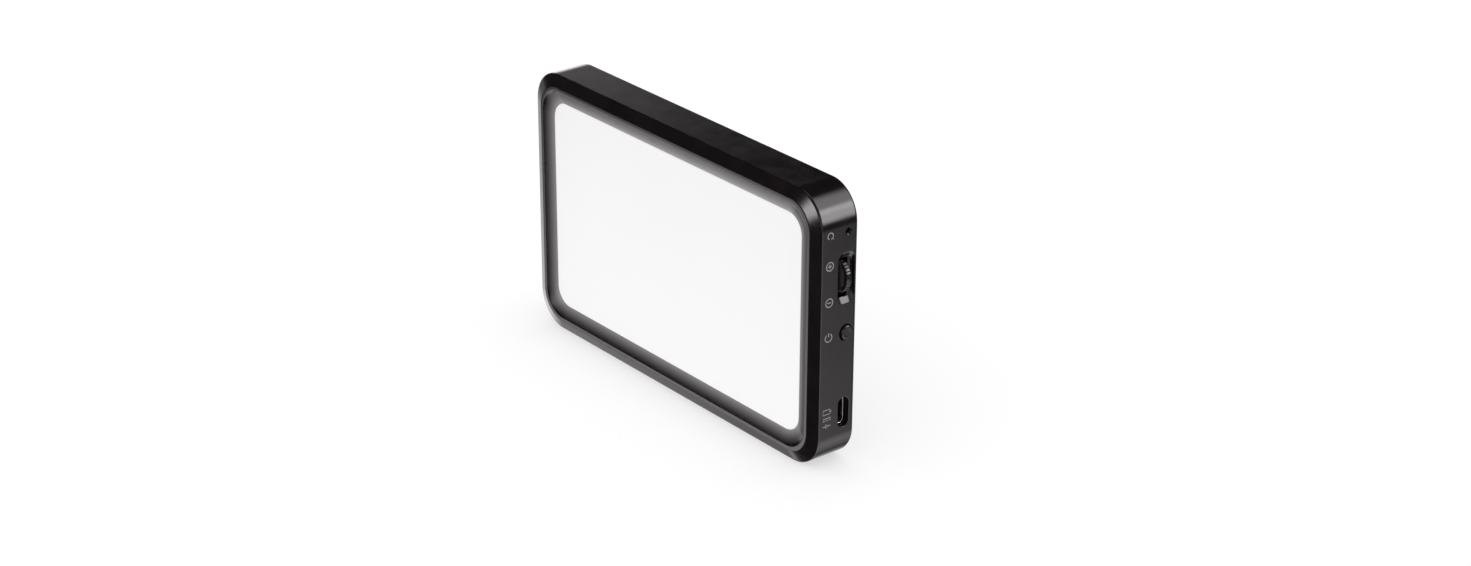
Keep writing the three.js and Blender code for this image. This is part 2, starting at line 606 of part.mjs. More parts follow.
// A pouch cell with soft edges.
function batteryCell() {
  const [w, h] = [CELL.x1 - CELL.x0, CELL.z1 - CELL.z0];
  const [x, z] = [(CELL.x0 + CELL.x1) / 2, (CELL.z0 + CELL.z1) / 2];
  const { front, t, radius, edge } = CELL;
  return join(
    slab(roundedRect(w, h, radius, x, z), front + edge, front + t - edge),
    slab(roundedRect(w - 2 * edge, h - 2 * edge, radius - edge, x, z), front, front + t),
  );
}

// A lead from the cell's guard board to its plug, with a slack bend.
function batteryLead(side) {
  const z = LEAD.z + side * LEAD.spread;
  const far = z + side * LEAD.fan;
  const [x0, x1] = [GUARD_X1 + GAP, PLUG.x0 - GAP];
  const middle = (x0 + x1) / 2;
  const route = new THREE.CubicBezierCurve3(
    new THREE.Vector3(x0, LEAD.depth, far),
    new THREE.Vector3(middle, LEAD.depth, far),
    new THREE.Vector3(middle, LEAD.depth, z),
    new THREE.Vector3(x1, LEAD.depth, z));
  const section = new THREE.Shape().absarc(0, 0, LEAD.radius, 0, 2 * Math.PI);
  return solidOf(new THREE.ExtrudeGeometry(section, {
    extrudePath: route,
    steps: 8,
    curveSegments: 8,
    bevelEnabled: false,
  }));
}

function batterySocket() {
  const { x, w, mouthEnd, mouthFront, mouthBack } = BATTERY_SOCKET;
  const mouthHalf = PLUG.half + GAP;
  const mouth = block([x - w / 2 - 1, mouthFront, LEAD.z - mouthHalf],
    [mouthEnd, mouthBack, LEAD.z + mouthHalf]);
  return cut(onBoard({ ...BATTERY_SOCKET, z: LEAD.z }), mouth);
}

const batteryPad = () => block([CELL.x0 + PAD_INSET, TRAY_BACK + GAP, CELL.z0 + PAD_INSET],
  [CELL.x1 - PAD_INSET, CELL.front - GAP, CELL.z1 - PAD_INSET]);

// A block centred on the leads' height.
const onLeads = (x0, x1, { front, back, half }) => block(
  [x0, front, LEAD.z - half], [x1, back, LEAD.z + half]);

add('battery_cell', batteryCell(), FOIL);
add('battery_pad', batteryPad(), FOAM);
add('battery_guard_board', onLeads(GUARD_X0, GUARD_X1, GUARD_BOARD), GREEN_BOARD);
add('battery_lead_plus', batteryLead(1), RED_LEAD);
add('battery_lead_minus', batteryLead(-1), BLACK_PLASTIC);
add('battery_plug', onLeads(PLUG.x0, PLUG.x1, PLUG), WHITE_PLASTIC);
add('battery_socket', batterySocket(), WHITE_PLASTIC);

// ---------------------------------------------------------------- brightness wheel

// A cupped disc with a toothed rim; the cup opens to the back.
function thumbWheel() {
  const root = WHEEL.radius - WHEEL.tooth;
  const [tipHalf, rootStart, rootEnd] = [0.22, 0.38, 0.62]; // as shares of a tooth's pitch
  const tooth = [[WHEEL.radius, -tipHalf], [WHEEL.radius, tipHalf], [root, rootStart], [root, rootEnd]];
  const points = [];
  for (let i = 0; i < WHEEL.teeth; i += 1) {
    for (const [radius, part] of tooth) {
      const angle = (i + part) * 2 * Math.PI / WHEEL.teeth;
      points.push(new THREE.Vector2(radius * Math.cos(angle), radius * Math.sin(angle)));
    }
  }
  return cut(
    slab(new THREE.Shape(points), 0, WHEEL.width),
    rodAlongY(WHEEL.rimInner, 0, 0, WHEEL.web, WHEEL.width + 1, 32),
    rodAlongY(WHEEL.hubHole, 0, 0, -1, WHEEL.width, 20),
  );
}

// The encoder's turning part, keyed into the wheel's hub.
const encoderRotor = () => rodAlongY(ENCODER.rotor, 0, 0, 0.1, PARTS_BACK - WHEEL_FRONT, 16);

// The encoder's still part: a round body inside the wheel's cup, on a flat base against the board.
function encoderBody() {
  const back = PARTS_BACK - WHEEL_FRONT;
  const base = back - ENCODER.base;
  const baseX0 = ENCODER.x0 - WHEEL_X;
  const baseX1 = INNER_X - GAP - WHEEL_X;
  return cut(
    join(
      rodAlongY(ENCODER.radius, 0, 0, WHEEL.web + ENCODER.clearance, base + 0.1, 32),
      block([baseX0, base, -ENCODER.half], [baseX1, back, ENCODER.half]),
    ),
    rodAlongY(ENCODER.rotor + ENCODER.clearance, 0, 0, 0, back + 1, 20),
  );
}

const wheelPlace = [WHEEL_X, WHEEL_FRONT, WHEEL_Z];
add('thumb_wheel', thumbWheel(), BLACK_PLASTIC, wheelPlace);
add('encoder_rotor', encoderRotor(), BRASS, wheelPlace);
add('encoder_body', encoderBody(), STEEL, wheelPlace);

// ---------------------------------------------------------------- power button and reset switch

// Pressed along -X. The flange inside the wall keeps it from falling out.
function powerButton() {
  const { radius, edge } = BUTTON;
  const face = WALL_X + BUTTON.proud;
  const { t, half, d } = BUTTON_FLANGE;
  const flangeOuter = INNER_X - GAP;
  const flangeMiddle = flangeOuter - t / 2;
  const body = turnedAlongX([
    [0, BUTTON_STEM.end],
    [BUTTON_STEM.radius, BUTTON_STEM.end],
    [BUTTON_STEM.radius, flangeMiddle],
    [radius, flangeMiddle],
    [radius, face - edge],
    [radius - edge, face],
    [0, face],
  ]);
  return join(body, block([flangeOuter - t, -d / 2, -half], [flangeOuter, d / 2, half]));
}

// A side-pressed switch: its body has a pocket that opens towards +X for the plunger.
function switchBody({ depth, front, long, half, tall, pocket }) {
  const reach = PLUNGER.half + PLUNGER.clearance;
  const pocketHalf = half - 2 * PLUNGER.clearance;
  return cut(
    block([front - long, PARTS_BACK - tall, -half], [front, PARTS_BACK, half]),
    block([front - pocket, depth - reach, -pocketHalf], [front + 1, depth + reach, pocketHalf]),
  );
}

// The switch's moving piece, from its pocket out to x = tip.
function plunger({ depth, front, half, pocket }, tip, travel) {
  const tail = front - pocket + travel + PLUNGER.backOff;
  const height = half - 3 * PLUNGER.clearance;
  return block([tail, depth - PLUNGER.half, -height], [tip, depth + PLUNGER.half, height]);
}

const powerPlunger = plunger(POWER_SWITCH, BUTTON_STEM.end - GAP, BUTTON.travel);
const resetPlunger = plunger(RESET_SWITCH, INNER_X - GAP, RESET.travel);
add('power_button', powerButton(), BLACK_PLASTIC, [0, BUTTON.depth, BUTTON_Z]);
add('power_switch_body', switchBody(POWER_SWITCH), STEEL, [0, 0, BUTTON_Z]);
add('power_switch_plunger', powerPlunger, WHITE_PLASTIC, [0, 0, BUTTON_Z]);
add('reset_switch_body', switchBody(RESET_SWITCH), STEEL, [0, 0, RESET_Z]);
add('reset_plunger', resetPlunger, WHITE_PLASTIC, [0, 0, RESET_Z]);

// ---------------------------------------------------------------- charging socket

const usbOutline = (shrink) => roundedRect(USB_SHELL.wide - 2 * shrink, USB_SHELL.tall - 2 * shrink,
  USB_SHELL.wide / 2 - shrink - 0.01);

const usbShell = () => cut(
  sideSlab(usbOutline(0), USB_REAR, USB_MOUTH),
  sideSlab(usbOutline(USB_SHELL.wall), USB_REAR - 1, USB_MOUTH + 1),
);

// The insulator: a block that closes the shell's rear, and the tongue that carries the contacts.
function usbTongue() {
  const { tall, wide, short, rear, clearance } = USB_TONGUE;
  return join(
    sideSlab(usbOutline(USB_SHELL.wall + clearance), USB_REAR, USB_REAR + rear),
    block([USB_REAR + rear / 2, -wide / 2, -tall / 2], [USB_MOUTH - short, wide / 2, tall / 2]),
  );
}

const usbPlace = [0, USB.depth, USB_Z];
add('usb_c_shell', usbShell(), STEEL, usbPlace);
add('usb_c_tongue', usbTongue(), BLACK_PLASTIC, usbPlace);

export default lightTable;
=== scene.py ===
import json
import math

import bmesh
import bpy
from mathutils import Matrix, Vector


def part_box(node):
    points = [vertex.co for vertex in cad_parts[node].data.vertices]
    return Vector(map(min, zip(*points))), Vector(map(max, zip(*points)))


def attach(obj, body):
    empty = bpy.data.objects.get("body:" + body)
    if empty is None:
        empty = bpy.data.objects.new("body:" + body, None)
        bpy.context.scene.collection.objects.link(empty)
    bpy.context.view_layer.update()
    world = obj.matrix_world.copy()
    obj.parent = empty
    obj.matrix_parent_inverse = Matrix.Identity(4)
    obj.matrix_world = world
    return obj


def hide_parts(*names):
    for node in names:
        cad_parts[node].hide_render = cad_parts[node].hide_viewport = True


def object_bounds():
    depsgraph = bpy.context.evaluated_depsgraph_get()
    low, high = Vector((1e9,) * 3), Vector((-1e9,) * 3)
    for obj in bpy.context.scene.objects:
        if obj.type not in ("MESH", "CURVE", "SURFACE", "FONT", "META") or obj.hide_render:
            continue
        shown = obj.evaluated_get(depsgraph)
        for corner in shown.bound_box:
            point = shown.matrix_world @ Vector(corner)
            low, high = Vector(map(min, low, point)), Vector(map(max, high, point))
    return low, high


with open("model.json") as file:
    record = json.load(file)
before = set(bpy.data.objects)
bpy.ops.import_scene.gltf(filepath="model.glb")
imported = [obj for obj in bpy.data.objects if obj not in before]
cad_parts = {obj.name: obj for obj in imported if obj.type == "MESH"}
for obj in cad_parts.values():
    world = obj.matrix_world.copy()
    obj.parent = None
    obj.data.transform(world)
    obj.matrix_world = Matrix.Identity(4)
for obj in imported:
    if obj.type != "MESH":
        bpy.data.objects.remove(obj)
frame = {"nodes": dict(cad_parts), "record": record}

cad_low, cad_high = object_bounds()
MM = 0.001
QUARTER_TURN = math.pi / 2
FULL_TURN = 2 * math.pi

# ------------------------------------------------------------------ places, from the frame
# Pieces are drawn in the case's own millimetres: x = 0 at the middle of the window,
# y = 0 at the frame's crest, going back, and z = 0 at the middle of the window.

HOUSING_LOW, HOUSING_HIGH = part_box("front_housing")
WIDTH, DEPTH, HEIGHT = (HOUSING_HIGH - HOUSING_LOW) / MM
ORIGIN = Vector((
    (HOUSING_LOW.x + HOUSING_HIGH.x) / 2,
    HOUSING_LOW.y,
    (HOUSING_LOW.z + HOUSING_HIGH.z) / 2,
))
WALL_X = WIDTH / 2


def case_box(node):
    """A CAD node's lowest and highest corners, in the case's millimetres."""
    low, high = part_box(node)
    return (low - ORIGIN) / MM, (high - ORIGIN) / MM


def case_middle(node):
    low, high = case_box(node)
    return (low + high) / 2


# The frame round the window: width and height in from the case's outer faces.
WINDOW_RADIUS = 6.1
SLOPE_WIDTH, SLOPE_DEPTH = 4.0, 1.45
CREST_WIDTH = 1.2
CREST_RADIUS_IN, CREST_RADIUS_OUT = 7.9, 8.7
CHAMFER_WIDTH, CHAMFER_DEPTH = 3.7, 1.35
FRAME_WIDTH = SLOPE_WIDTH + CREST_WIDTH + CHAMFER_WIDTH
CASE_RADIUS = 11.0

# The rest of the case: its wall, how far back the frame reaches, and the cover's ledge.
WALL = 2.4
BEZEL_BACK = 2.2
COVER_RIM = 1.8
LEDGE = 13.7
CORNER_STEPS = 20

# How many of each numbered CAD node there are.
COVER_SCREWS, TRAY_SCREWS, BOARD_SCREWS, FEET = 4, 3, 3, 4
# How far a cutter reaches past the piece it cuts.
PAST = 1

# ------------------------------------------------------------------ meshes


def make_object(name, points, faces):
    """A mesh object from points in the case's millimetres."""
    mesh = bpy.data.meshes.new(name)
    mesh.from_pydata([ORIGIN + Vector(p) * MM for p in points], [], faces)
    mesh.validate()
    obj = bpy.data.objects.new(name, mesh)
    bpy.context.scene.collection.objects.link(obj)
    return obj


def rounded_rect(width, height, radius, steps=CORNER_STEPS):
    """Points (u, v) round a rectangle with round corners, anticlockwise."""
    points = []
    for corner, (su, sv) in enumerate([(1, 1), (-1, 1), (-1, -1), (1, -1)]):
        for step in range(steps + 1):
            angle = (corner + step / steps) * QUARTER_TURN
            points.append((
                su * (width / 2 - radius) + radius * math.cos(angle),
                sv * (height / 2 - radius) + radius * math.sin(angle),
            ))
    return points


def softened(profile, steps=4):
    """Rounds a profile's corners. Each entry is (values, size); size 0 keeps the corner."""
    count = len(profile)
    out = []
    for i, (values, size) in enumerate(profile):
        here = Vector(values)
        if size == 0:
            out.append(here)
            continue
        before = Vector(profile[i - 1][0])
        after = Vector(profile[(i + 1) % count][0])
        start = here + (before - here).normalized() * size
        end = here + (after - here).normalized() * size
        for step in range(steps + 1):
            t = step / steps
            out.append(start * (1 - t) ** 2 + here * (2 * t * (1 - t)) + end * t ** 2)
    return out


def skin(rings, closed=False):
    """Points and faces over rings of equal length; a closed skin joins its last ring to its first."""
    size = len(rings[0])
    points = [p for ring in rings for p in ring]
    faces = []
    spans = len(rings) if closed else len(rings) - 1
    for k in range(spans):
        here, there = k * size, ((k + 1) % len(rings)) * size
        for j in range(size):
            n = (j + 1) % size
            faces.append((here + j, there + j, there + n, here + n))
    if not closed:
        faces.append(tuple(range(size)))
        faces.append(tuple(reversed(range((len(rings) - 1) * size, len(rings) * size))))
    return points, faces


def skinned(name, rings, closed=False):
    return face_out(make_object(name, *skin(rings, closed)))


def face_out(obj):
    """Turns a closed mesh's faces outwards."""
    mesh = bmesh.new()
    mesh.from_mesh(obj.data)
    bmesh.ops.recalc_face_normals(mesh, faces=mesh.faces)
    mesh.to_mesh(obj.data)
    mesh.free()
    return obj


def turned(name, profile, centre, axis="Y", steps=64, wave=None):
    """A solid of revolution. The profile lists (radius, along) and closes on the axis or on itself.

    wave(angle, radius) may change the radius round the turn.
    """
    rings = []
    hubs = []
    for radius, along in profile:
        if radius == 0:
            hubs.append(along)
            continue
        ring = []
        for step in range(steps):
            angle = FULL_TURN * step / steps
            r = wave(angle, radius) if wave else radius
            u, v = r * math.cos(angle), r * math.sin(angle)
            spot = (u, along, v) if axis == "Y" else (along, u, v)
            ring.append(Vector(centre) + Vector(spot))
        rings.append(ring)
    return skinned(name, rings, closed=not hubs)


def rounded_edge(radius, face, size, steps):
    """Points (radius, along) of a disc's rounded edge, from its side to its face."""
    points = []
    for step in range(steps + 1):
        angle = step / steps * QUARTER_TURN
        points.append((radius - size * (1 - math.cos(angle)), face - size * (1 - math.sin(angle))))
    return points


def rod(name, radius, start, end, centre, axis="Y", steps=48):
    return turned(name, [(0, start), (radius, start), (radius, end), (0, end)], centre, axis, steps)


def brick(name, low, high):
    (x0, y0, z0), (x1, y1, z1) = low, high
    front = [(x0, y0, z0), (x1, y0, z0), (x1, y0, z1), (x0, y0, z1)]
    back = [(x, y1, z) for x, _, z in front]
    return skinned(name, [front, back])


def combine(target, tool, operation="DIFFERENCE"):
    """Cuts or joins the tool into the target, and removes the tool."""
    step = target.modifiers.new("combine", "BOOLEAN")
    step.operation = operation
    step.solver = "EXACT"
    step.object = tool
    apply_modifiers(target)
    bpy.data.objects.remove(tool)
    return target


def apply_modifiers(obj):
    bpy.context.view_layer.update()
    graph = bpy.context.evaluated_depsgraph_get()
    mesh = bpy.data.meshes.new_from_object(obj.evaluated_get(graph))
    obj.modifiers.clear()
    old = obj.data
    obj.data = mesh
    bpy.data.meshes.remove(old)


def smooth(obj, angle=28):
    """Smooth shading that leaves edges sharper than the angle crisp."""
    mesh = obj.data
    mesh.polygons.foreach_set("use_smooth", [True] * len(mesh.polygons))
    mesh.set_sharp_from_angle(angle=math.radians(angle))
    weigh = obj.modifiers.new("even normals", "WEIGHTED_NORMAL")
    weigh.keep_sharp = True
    return obj


def bevelled(obj, width, segments=3, angle=30):
    """Small round edges, in millimetres."""
    step = obj.modifiers.new("round edges", "BEVEL")
    step.width = width * MM
    step.segments = segments
    step.limit_method = "ANGLE"
    step.angle_limit = math.radians(angle)
    step.harden_normals = False
    apply_modifiers(obj)
    return obj


def dress(obj, material, body, slot, *replaced):
    """Gives a new piece its material and body, and hides the CAD nodes it stands for; the slot is not used.
    """
    obj.data.materials.clear()
    obj.data.materials.append(material)
    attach(obj, body)
    if replaced:
        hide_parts(*replaced)
    return obj


# ------------------------------------------------------------------ materials

# A Mix node's sockets go by number, because each kind of value has its own set.
MIX_COLOURS, MIX_COLOUR_OUT = (6, 7), 2
MIX_FLOATS, MIX_FLOAT_OUT = (2, 3), 0
# The range that most of a noise's values fall in.
NOISE_LOW, NOISE_HIGH = 0.3, 0.7


# The gloss level seen square on and at a slant, and the Facing values it changes between.
FULL_GLOSS, SLANT_GLOSS = 0.5, 0.012
CALM_BETWEEN = (0.22, 0.62)


class Surface:
    """A Principled material and short calls for adding nodes to it."""

    def __init__(self, name, colour, roughness, metallic=0.0, ior=1.5):
        self.material = bpy.data.materials.new(name)
        self.material.use_nodes = True
        self.nodes = self.material.node_tree.nodes
        self.links = self.material.node_tree.links
        self.shader = self.nodes["Principled BSDF"]
        self.set("Base Color", (*colour, 1))
        self.set("Roughness", roughness)
        self.set("Metallic", metallic)
        self.set("IOR", ior)
        self.place = self.nodes.new("ShaderNodeTexCoord").outputs["Object"]

    def set(self, socket, value):
        self.shader.inputs[socket].default_value = value

    def join(self, output, target):
        self.links.new(output, target)

    def scaled(self, x, y, z):
        mapping = self.nodes.new("ShaderNodeMapping")
        mapping.inputs["Scale"].default_value = (x, y, z)
        self.join(self.place, mapping.inputs["Vector"])
        return mapping.outputs["Vector"]

    def noise(self, size_mm, detail=3.0, stretch=(1, 1, 1)):
        """Noise whose features are about size_mm across, stretched along each axis."""
        node = self.nodes.new("ShaderNodeTexNoise")
        node.inputs["Scale"].default_value = 1
        node.inputs["Detail"].default_value = detail
        per_metre = 1 / (size_mm * MM)
        self.join(self.scaled(*(per_metre / s for s in stretch)), node.inputs["Vector"])
        return node.outputs["Fac"]

    def remap(self, value, low, high, out_low, out_high):
        node = self.nodes.new("ShaderNodeMapRange")
        node.inputs["From Min"].default_value = low
        node.inputs["From Max"].default_value = high
        node.inputs["To Min"].default_value = out_low
        node.inputs["To Max"].default_value = out_high
        self.join(value, node.inputs["Value"])
        return node.outputs["Result"]

    def mix(self, factor, first, second):
        node = self.nodes.new("ShaderNodeMix")
        node.data_type = "RGBA"
        self.join(factor, node.inputs["Factor"])
        for number, colour in zip(MIX_COLOURS, (first, second)):
            node.inputs[number].default_value = (*colour, 1)
        return node.outputs[MIX_COLOUR_OUT]

    def vary_colour(self, value, first, second, low=0.35, high=0.65):
        colour = self.mix(self.remap(value, low, high, 0, 1), first, second)
        self.join(colour, self.shader.inputs["Base Color"])

    def vary_roughness(self, value, low, high):
        self.join(self.remap(value, NOISE_LOW, NOISE_HIGH, low, high), self.shader.inputs["Roughness"])

    def calm_at_grazing(self):
        """Lowers the gloss where it is seen at a slant, so that no wall mirrors a light as white."""
        facing = self.nodes.new("ShaderNodeLayerWeight").outputs["Facing"]
        level = self.remap(facing, *CALM_BETWEEN, FULL_GLOSS, SLANT_GLOSS)
        self.join(level, self.shader.inputs["Specular IOR Level"])

    def bump(self, value, height_mm, strength=1.0):
        node = self.nodes.new("ShaderNodeBump")
        node.inputs["Strength"].default_value = strength
        node.inputs["Distance"].default_value = height_mm * MM
        self.join(value, node.inputs["Height"])
        self.join(node.outputs["Normal"], self.shader.inputs["Normal"])


def window_distance(s):
    """Distance in metres outside the window's outline, as a node output."""
    flat = s.nodes.new("ShaderNodeVectorMath")
    flat.operation = "SUBTRACT"
    flat.inputs[1].default_value = ORIGIN
    s.join(s.place, flat.inputs[0])
    folded = s.nodes.new("ShaderNodeVectorMath")
    folded.operation = "ABSOLUTE"
    s.join(flat.outputs["Vector"], folded.inputs[0])
    beyond = s.nodes.new("ShaderNodeVectorMath")
    beyond.operation = "SUBTRACT"
    half_width = WIDTH / 2 - FRAME_WIDTH - WINDOW_RADIUS
    half_height = HEIGHT / 2 - FRAME_WIDTH - WINDOW_RADIUS
    beyond.inputs[1].default_value = (half_width * MM, 1, half_height * MM)
    s.join(folded.outputs["Vector"], beyond.inputs[0])
    outside = s.nodes.new("ShaderNodeVectorMath")
    outside.operation = "MAXIMUM"
    outside.inputs[1].default_value = (0, 0, 0)
    s.join(beyond.outputs["Vector"], outside.inputs[0])
    reach = s.nodes.new("ShaderNodeVectorMath")
    reach.operation = "LENGTH"
    s.join(outside.outputs["Vector"], reach.inputs[0])
    return reach.outputs["Value"]


# Painted glow on the frame beside the window: emission in the plastic that stands in for the panel's light
# falling on it. Its colour, strength and how fast it fades outwards.
PAINTED_GLOW_COLOUR = (1.0, 0.965, 0.955)
PAINTED_GLOW_STRENGTH = 0.22
PAINTED_GLOW_FADE = 1.6


def painted_panel_glow(s):
    """Painted glow: emission on the frame that stands in for the panel's light falling on it, bright beside
    the window, gone at the crest.
    """
    near, far = WINDOW_RADIUS * MM, (WINDOW_RADIUS + SLOPE_WIDTH) * MM
    fade = s.remap(window_distance(s), near, far, 1, 0)
    power = s.nodes.new("ShaderNodeMath")
    power.operation = "POWER"
    power.inputs[1].default_value = PAINTED_GLOW_FADE
    s.join(fade, power.inputs[0])
    s.join(s.mix(power.outputs[0], (0, 0, 0), PAINTED_GLOW_COLOUR), s.shader.inputs["Emission Color"])
    s.set("Emission Strength", PAINTED_GLOW_STRENGTH)


def satin_black(name, colour, roughness, grain_mm=0.12, height_mm=0.0015):
    """Smooth moulded black plastic with a faint grain and slightly uneven gloss."""
    s = Surface(name, colour, roughness)
    lighter = tuple(c * 1.5 for c in colour)
    s.vary_colour(s.noise(9), colour, lighter)
    s.vary_roughness(s.noise(5, detail=5), roughness - 0.03, roughness + 0.04)
    s.bump(s.noise(grain_mm, detail=2), height_mm)
    s.calm_at_grazing()
    return s


CASE_COLOUR = (0.0042, 0.0030, 0.0034)
CASE_ROUGHNESS = 0.16
CASE_ROUGHNESS_RANGE = (0.13, 0.20)
SLOPE_ROUGHNESS_RANGE = (0.28, 0.34)


def case_black():
    """The case's plastic, with a duller slope round the window and a painted glow there that stands in for
    the panel's light.
    """
    s = satin_black("case_black", CASE_COLOUR, CASE_ROUGHNESS)
    # Painted glow: emission beside the window in place of the panel's light on the slope.
    painted_panel_glow(s)
    crest = (WINDOW_RADIUS + SLOPE_WIDTH) * MM
    inside_crest, outside_crest = crest - 0.3 * MM, crest + 0.1 * MM
    on_slope = s.remap(window_distance(s), inside_crest, outside_crest, 1, 0)
    uneven = s.noise(5, detail=5)
    dull = s.nodes.new("ShaderNodeMix")
    dull.data_type = "FLOAT"
    s.join(on_slope, dull.inputs["Factor"])
    for number, limits in zip(MIX_FLOATS, (CASE_ROUGHNESS_RANGE, SLOPE_ROUGHNESS_RANGE)):
        s.join(s.remap(uneven, NOISE_LOW, NOISE_HIGH, *limits), dull.inputs[number])
    s.join(dull.outputs[MIX_FLOAT_OUT], s.shader.inputs["Roughness"])
    return s.material


PANEL_STRENGTH = 0.49
PANEL_DIMMER, PANEL_BRIGHTER = (0.985, 0.985, 0.985), (1.0, 1.0, 1.0)


def opal_panel():
    """Opal acrylic lit from behind, with wide, very faint differences in its light."""
    s = Surface("opal_panel", (0.34, 0.34, 0.34), 0.32)
    s.set("Emission Strength", PANEL_STRENGTH)
    uneven = s.remap(s.noise(40, detail=1), NOISE_LOW, NOISE_HIGH, 0, 1)
    s.join(s.mix(uneven, PANEL_DIMMER, PANEL_BRIGHTER), s.shader.inputs["Emission Color"])
    s.bump(s.noise(0.3, detail=2), 0.001)
    return s.material


def metal(name, colour, roughness, brushed=(1, 1, 1), size_mm=0.25):
    s = Surface(name, colour, roughness, metallic=1.0)
    lines = s.noise(size_mm, detail=4, stretch=brushed)
    s.vary_colour(lines, tuple(c * 0.85 for c in colour), colour)
    s.vary_roughness(lines, roughness - 0.08, roughness + 0.1)
    s.bump(lines, 0.004)
    return s.material


def plain(name, colour, roughness, size_mm, height_mm, spread=0.8):
    """A dull moulded or coated surface with a fine texture."""
    s = Surface(name, colour, roughness)
    texture = s.noise(size_mm, detail=4)
    s.vary_colour(texture, tuple(c * spread for c in colour), colour)
    s.vary_roughness(s.noise(size_mm * 6), roughness - 0.06, roughness + 0.06)
    s.bump(texture, height_mm)
    return s.material


MASK_DARK, MASK_OVER_COPPER = (0.003, 0.018, 0.007), (0.008, 0.045, 0.018)
TRACK_LONG, TRACK_PITCH, TRACK_LINE = 3.0, 1.0, 0.12


def circuit_board():
    """Green solder mask over copper tracks that show through a shade lighter."""
    s = Surface("circuit_board", (0.01, 0.09, 0.03), 0.35)
    tracks = s.nodes.new("ShaderNodeTexBrick")
    tracks.inputs["Scale"].default_value = 1
    tracks.inputs["Mortar Size"].default_value = TRACK_LINE
    tracks.inputs["Brick Width"].default_value = TRACK_LONG
    tracks.inputs["Row Height"].default_value = TRACK_PITCH
    turn = s.nodes.new("ShaderNodeMapping")
    turn.inputs["Rotation"].default_value = (QUARTER_TURN, 0, 0)
    turn.inputs["Scale"].default_value = (1 / MM, 1 / MM, 1 / MM)
    s.join(s.place, turn.inputs["Vector"])
    s.join(turn.outputs["Vector"], tracks.inputs["Vector"])
    s.join(s.mix(tracks.outputs["Fac"], MASK_DARK, MASK_OVER_COPPER), s.shader.inputs["Base Color"])
    s.bump(tracks.outputs["Fac"], 0.02)
    return s.material


def acrylic():
    s = Surface("clear_acrylic", (0.92, 0.95, 0.96), 0.05, ior=1.49)
    s.set("Transmission Weight", 0.9)
    s.bump(s.noise(0.8), 0.002)
    return s.material


# The frame's plastic, with the painted glow beside the window.
FRAME_BLACK_PAINTED_GLOW = case_black()
CASE_BLACK = satin_black("cover_black", CASE_COLOUR, CASE_ROUGHNESS).material
CONTROL_BLACK = satin_black("control_black", (0.0050, 0.0042, 0.0045), 0.17).material
OPAL = opal_panel()
STEEL = metal("nickel_plate", (0.62, 0.61, 0.59), 0.28)
BLACK_STEEL = metal("black_oxide", (0.035, 0.035, 0.037), 0.42)
GOLD = metal("gold_plate", (0.83, 0.60, 0.26), 0.25)
RUBBER = plain("rubber", (0.012, 0.012, 0.012), 0.78, 0.2, 0.01)
PRINT = plain("pale_print", (0.27, 0.27, 0.27), 0.6, 0.1, 0.001)
BLACK_NYLON = plain("black_nylon", (0.012, 0.012, 0.013), 0.5, 0.1, 0.004)

SLOT_LOOKS = {
    "case_black": CASE_BLACK,
    "control_black": CONTROL_BLACK,
    "black_plastic": BLACK_NYLON,
    "opal": OPAL,
    "white_sheet": plain("white_film", (0.85, 0.85, 0.84), 0.7, 0.1, 0.002, spread=0.96),
    "clear_acrylic": acrylic(),
    "aluminium": metal("aluminium_sheet", (0.72, 0.72, 0.73), 0.38, brushed=(12, 1, 1)),
    "steel": STEEL,
    "black_steel": BLACK_STEEL,
    "brass": metal("turned_brass", (0.70, 0.52, 0.22), 0.3),
    "rubber": RUBBER,
    "circuit_board": circuit_board(),
    "white_plastic": plain("white_nylon", (0.74, 0.72, 0.66), 0.5, 0.2, 0.004, spread=0.92),
    "cell_foil": metal("cell_foil", (0.68, 0.69, 0.71), 0.36, size_mm=3),
    "ferrite": plain("ferrite", (0.035, 0.035, 0.037), 0.65, 0.15, 0.01),
    "red_lead": plain("red_insulation", (0.42, 0.02, 0.015), 0.42, 0.4, 0.003),
    "foam": plain("foam_tape", (0.09, 0.09, 0.10), 0.9, 0.25, 0.05, spread=0.5),
    "amber_flex": plain("amber_flex", (0.42, 0.16, 0.02), 0.3, 0.6, 0.002),
}
for part in frame["record"]["subparts"]:
    node = frame["nodes"][part["node"]]
    node.data.materials.clear()
    node.data.materials.append(SLOT_LOOKS[part["material_slot"]])

# ------------------------------------------------------------------ case

COVER_LOW, COVER_HIGH = case_box("back_cover")


def case_ring(y, inset, radius):
    """A ring of the case's outline, this far in from its outer faces."""
    outline = rounded_rect(WIDTH - 2 * inset, HEIGHT - 2 * inset, radius)
    return [(u, y, v) for u, v in outline]


def wall_tool(name, rings):
    """A cutter along X through the right-hand wall: rings of (x, points in y and z)."""
    return skinned(name, [[(x, y, z) for y, z in outline] for x, outline in rings])


def wall_outline(place, wide, tall, radius, grow=0.0):
    """A round-cornered outline on the right-hand wall, centred on place's y and z."""
    outline = rounded_rect(wide + 2 * grow, tall + 2 * grow, radius + grow, steps=12)
    return [(place.y + u, place.z + v) for u, v in outline]


# How much of each edge of the case is rounded.
ROUNDING = {"window": 0.12, "crest": 0.30, "chamfer": 0.55, "back": 1.0, "rim": 0.15, "ledge": 0.1}
# Screw posts behind the frame: radius and end, and their hole's radius, start and end.
POST_START = BEZEL_BACK - 0.5
COVER_POST = {"radius": 2.1, "end": LEDGE, "hole": 1.0, "hole_start": 5, "hole_end": LEDGE + PAST}
TRAY_POST = {"radius": 1.9, "end": 8.1, "hole": 0.9, "hole_start": 4, "hole_end": 9}


def add_posts(body, kind, count, post):
    """A round post for each screw of one kind, with a hole down its middle."""
    for number in range(1, count + 1):
        spot = case_middle(f"{kind}_{number}")
        foot_of_post = (spot.x, 0, spot.z)
        combine(body, rod("boss", post["radius"], POST_START, post["end"], foot_of_post), "UNION")
        combine(body, rod("pilot", post["hole"], post["hole_start"], post["hole_end"], foot_of_post))


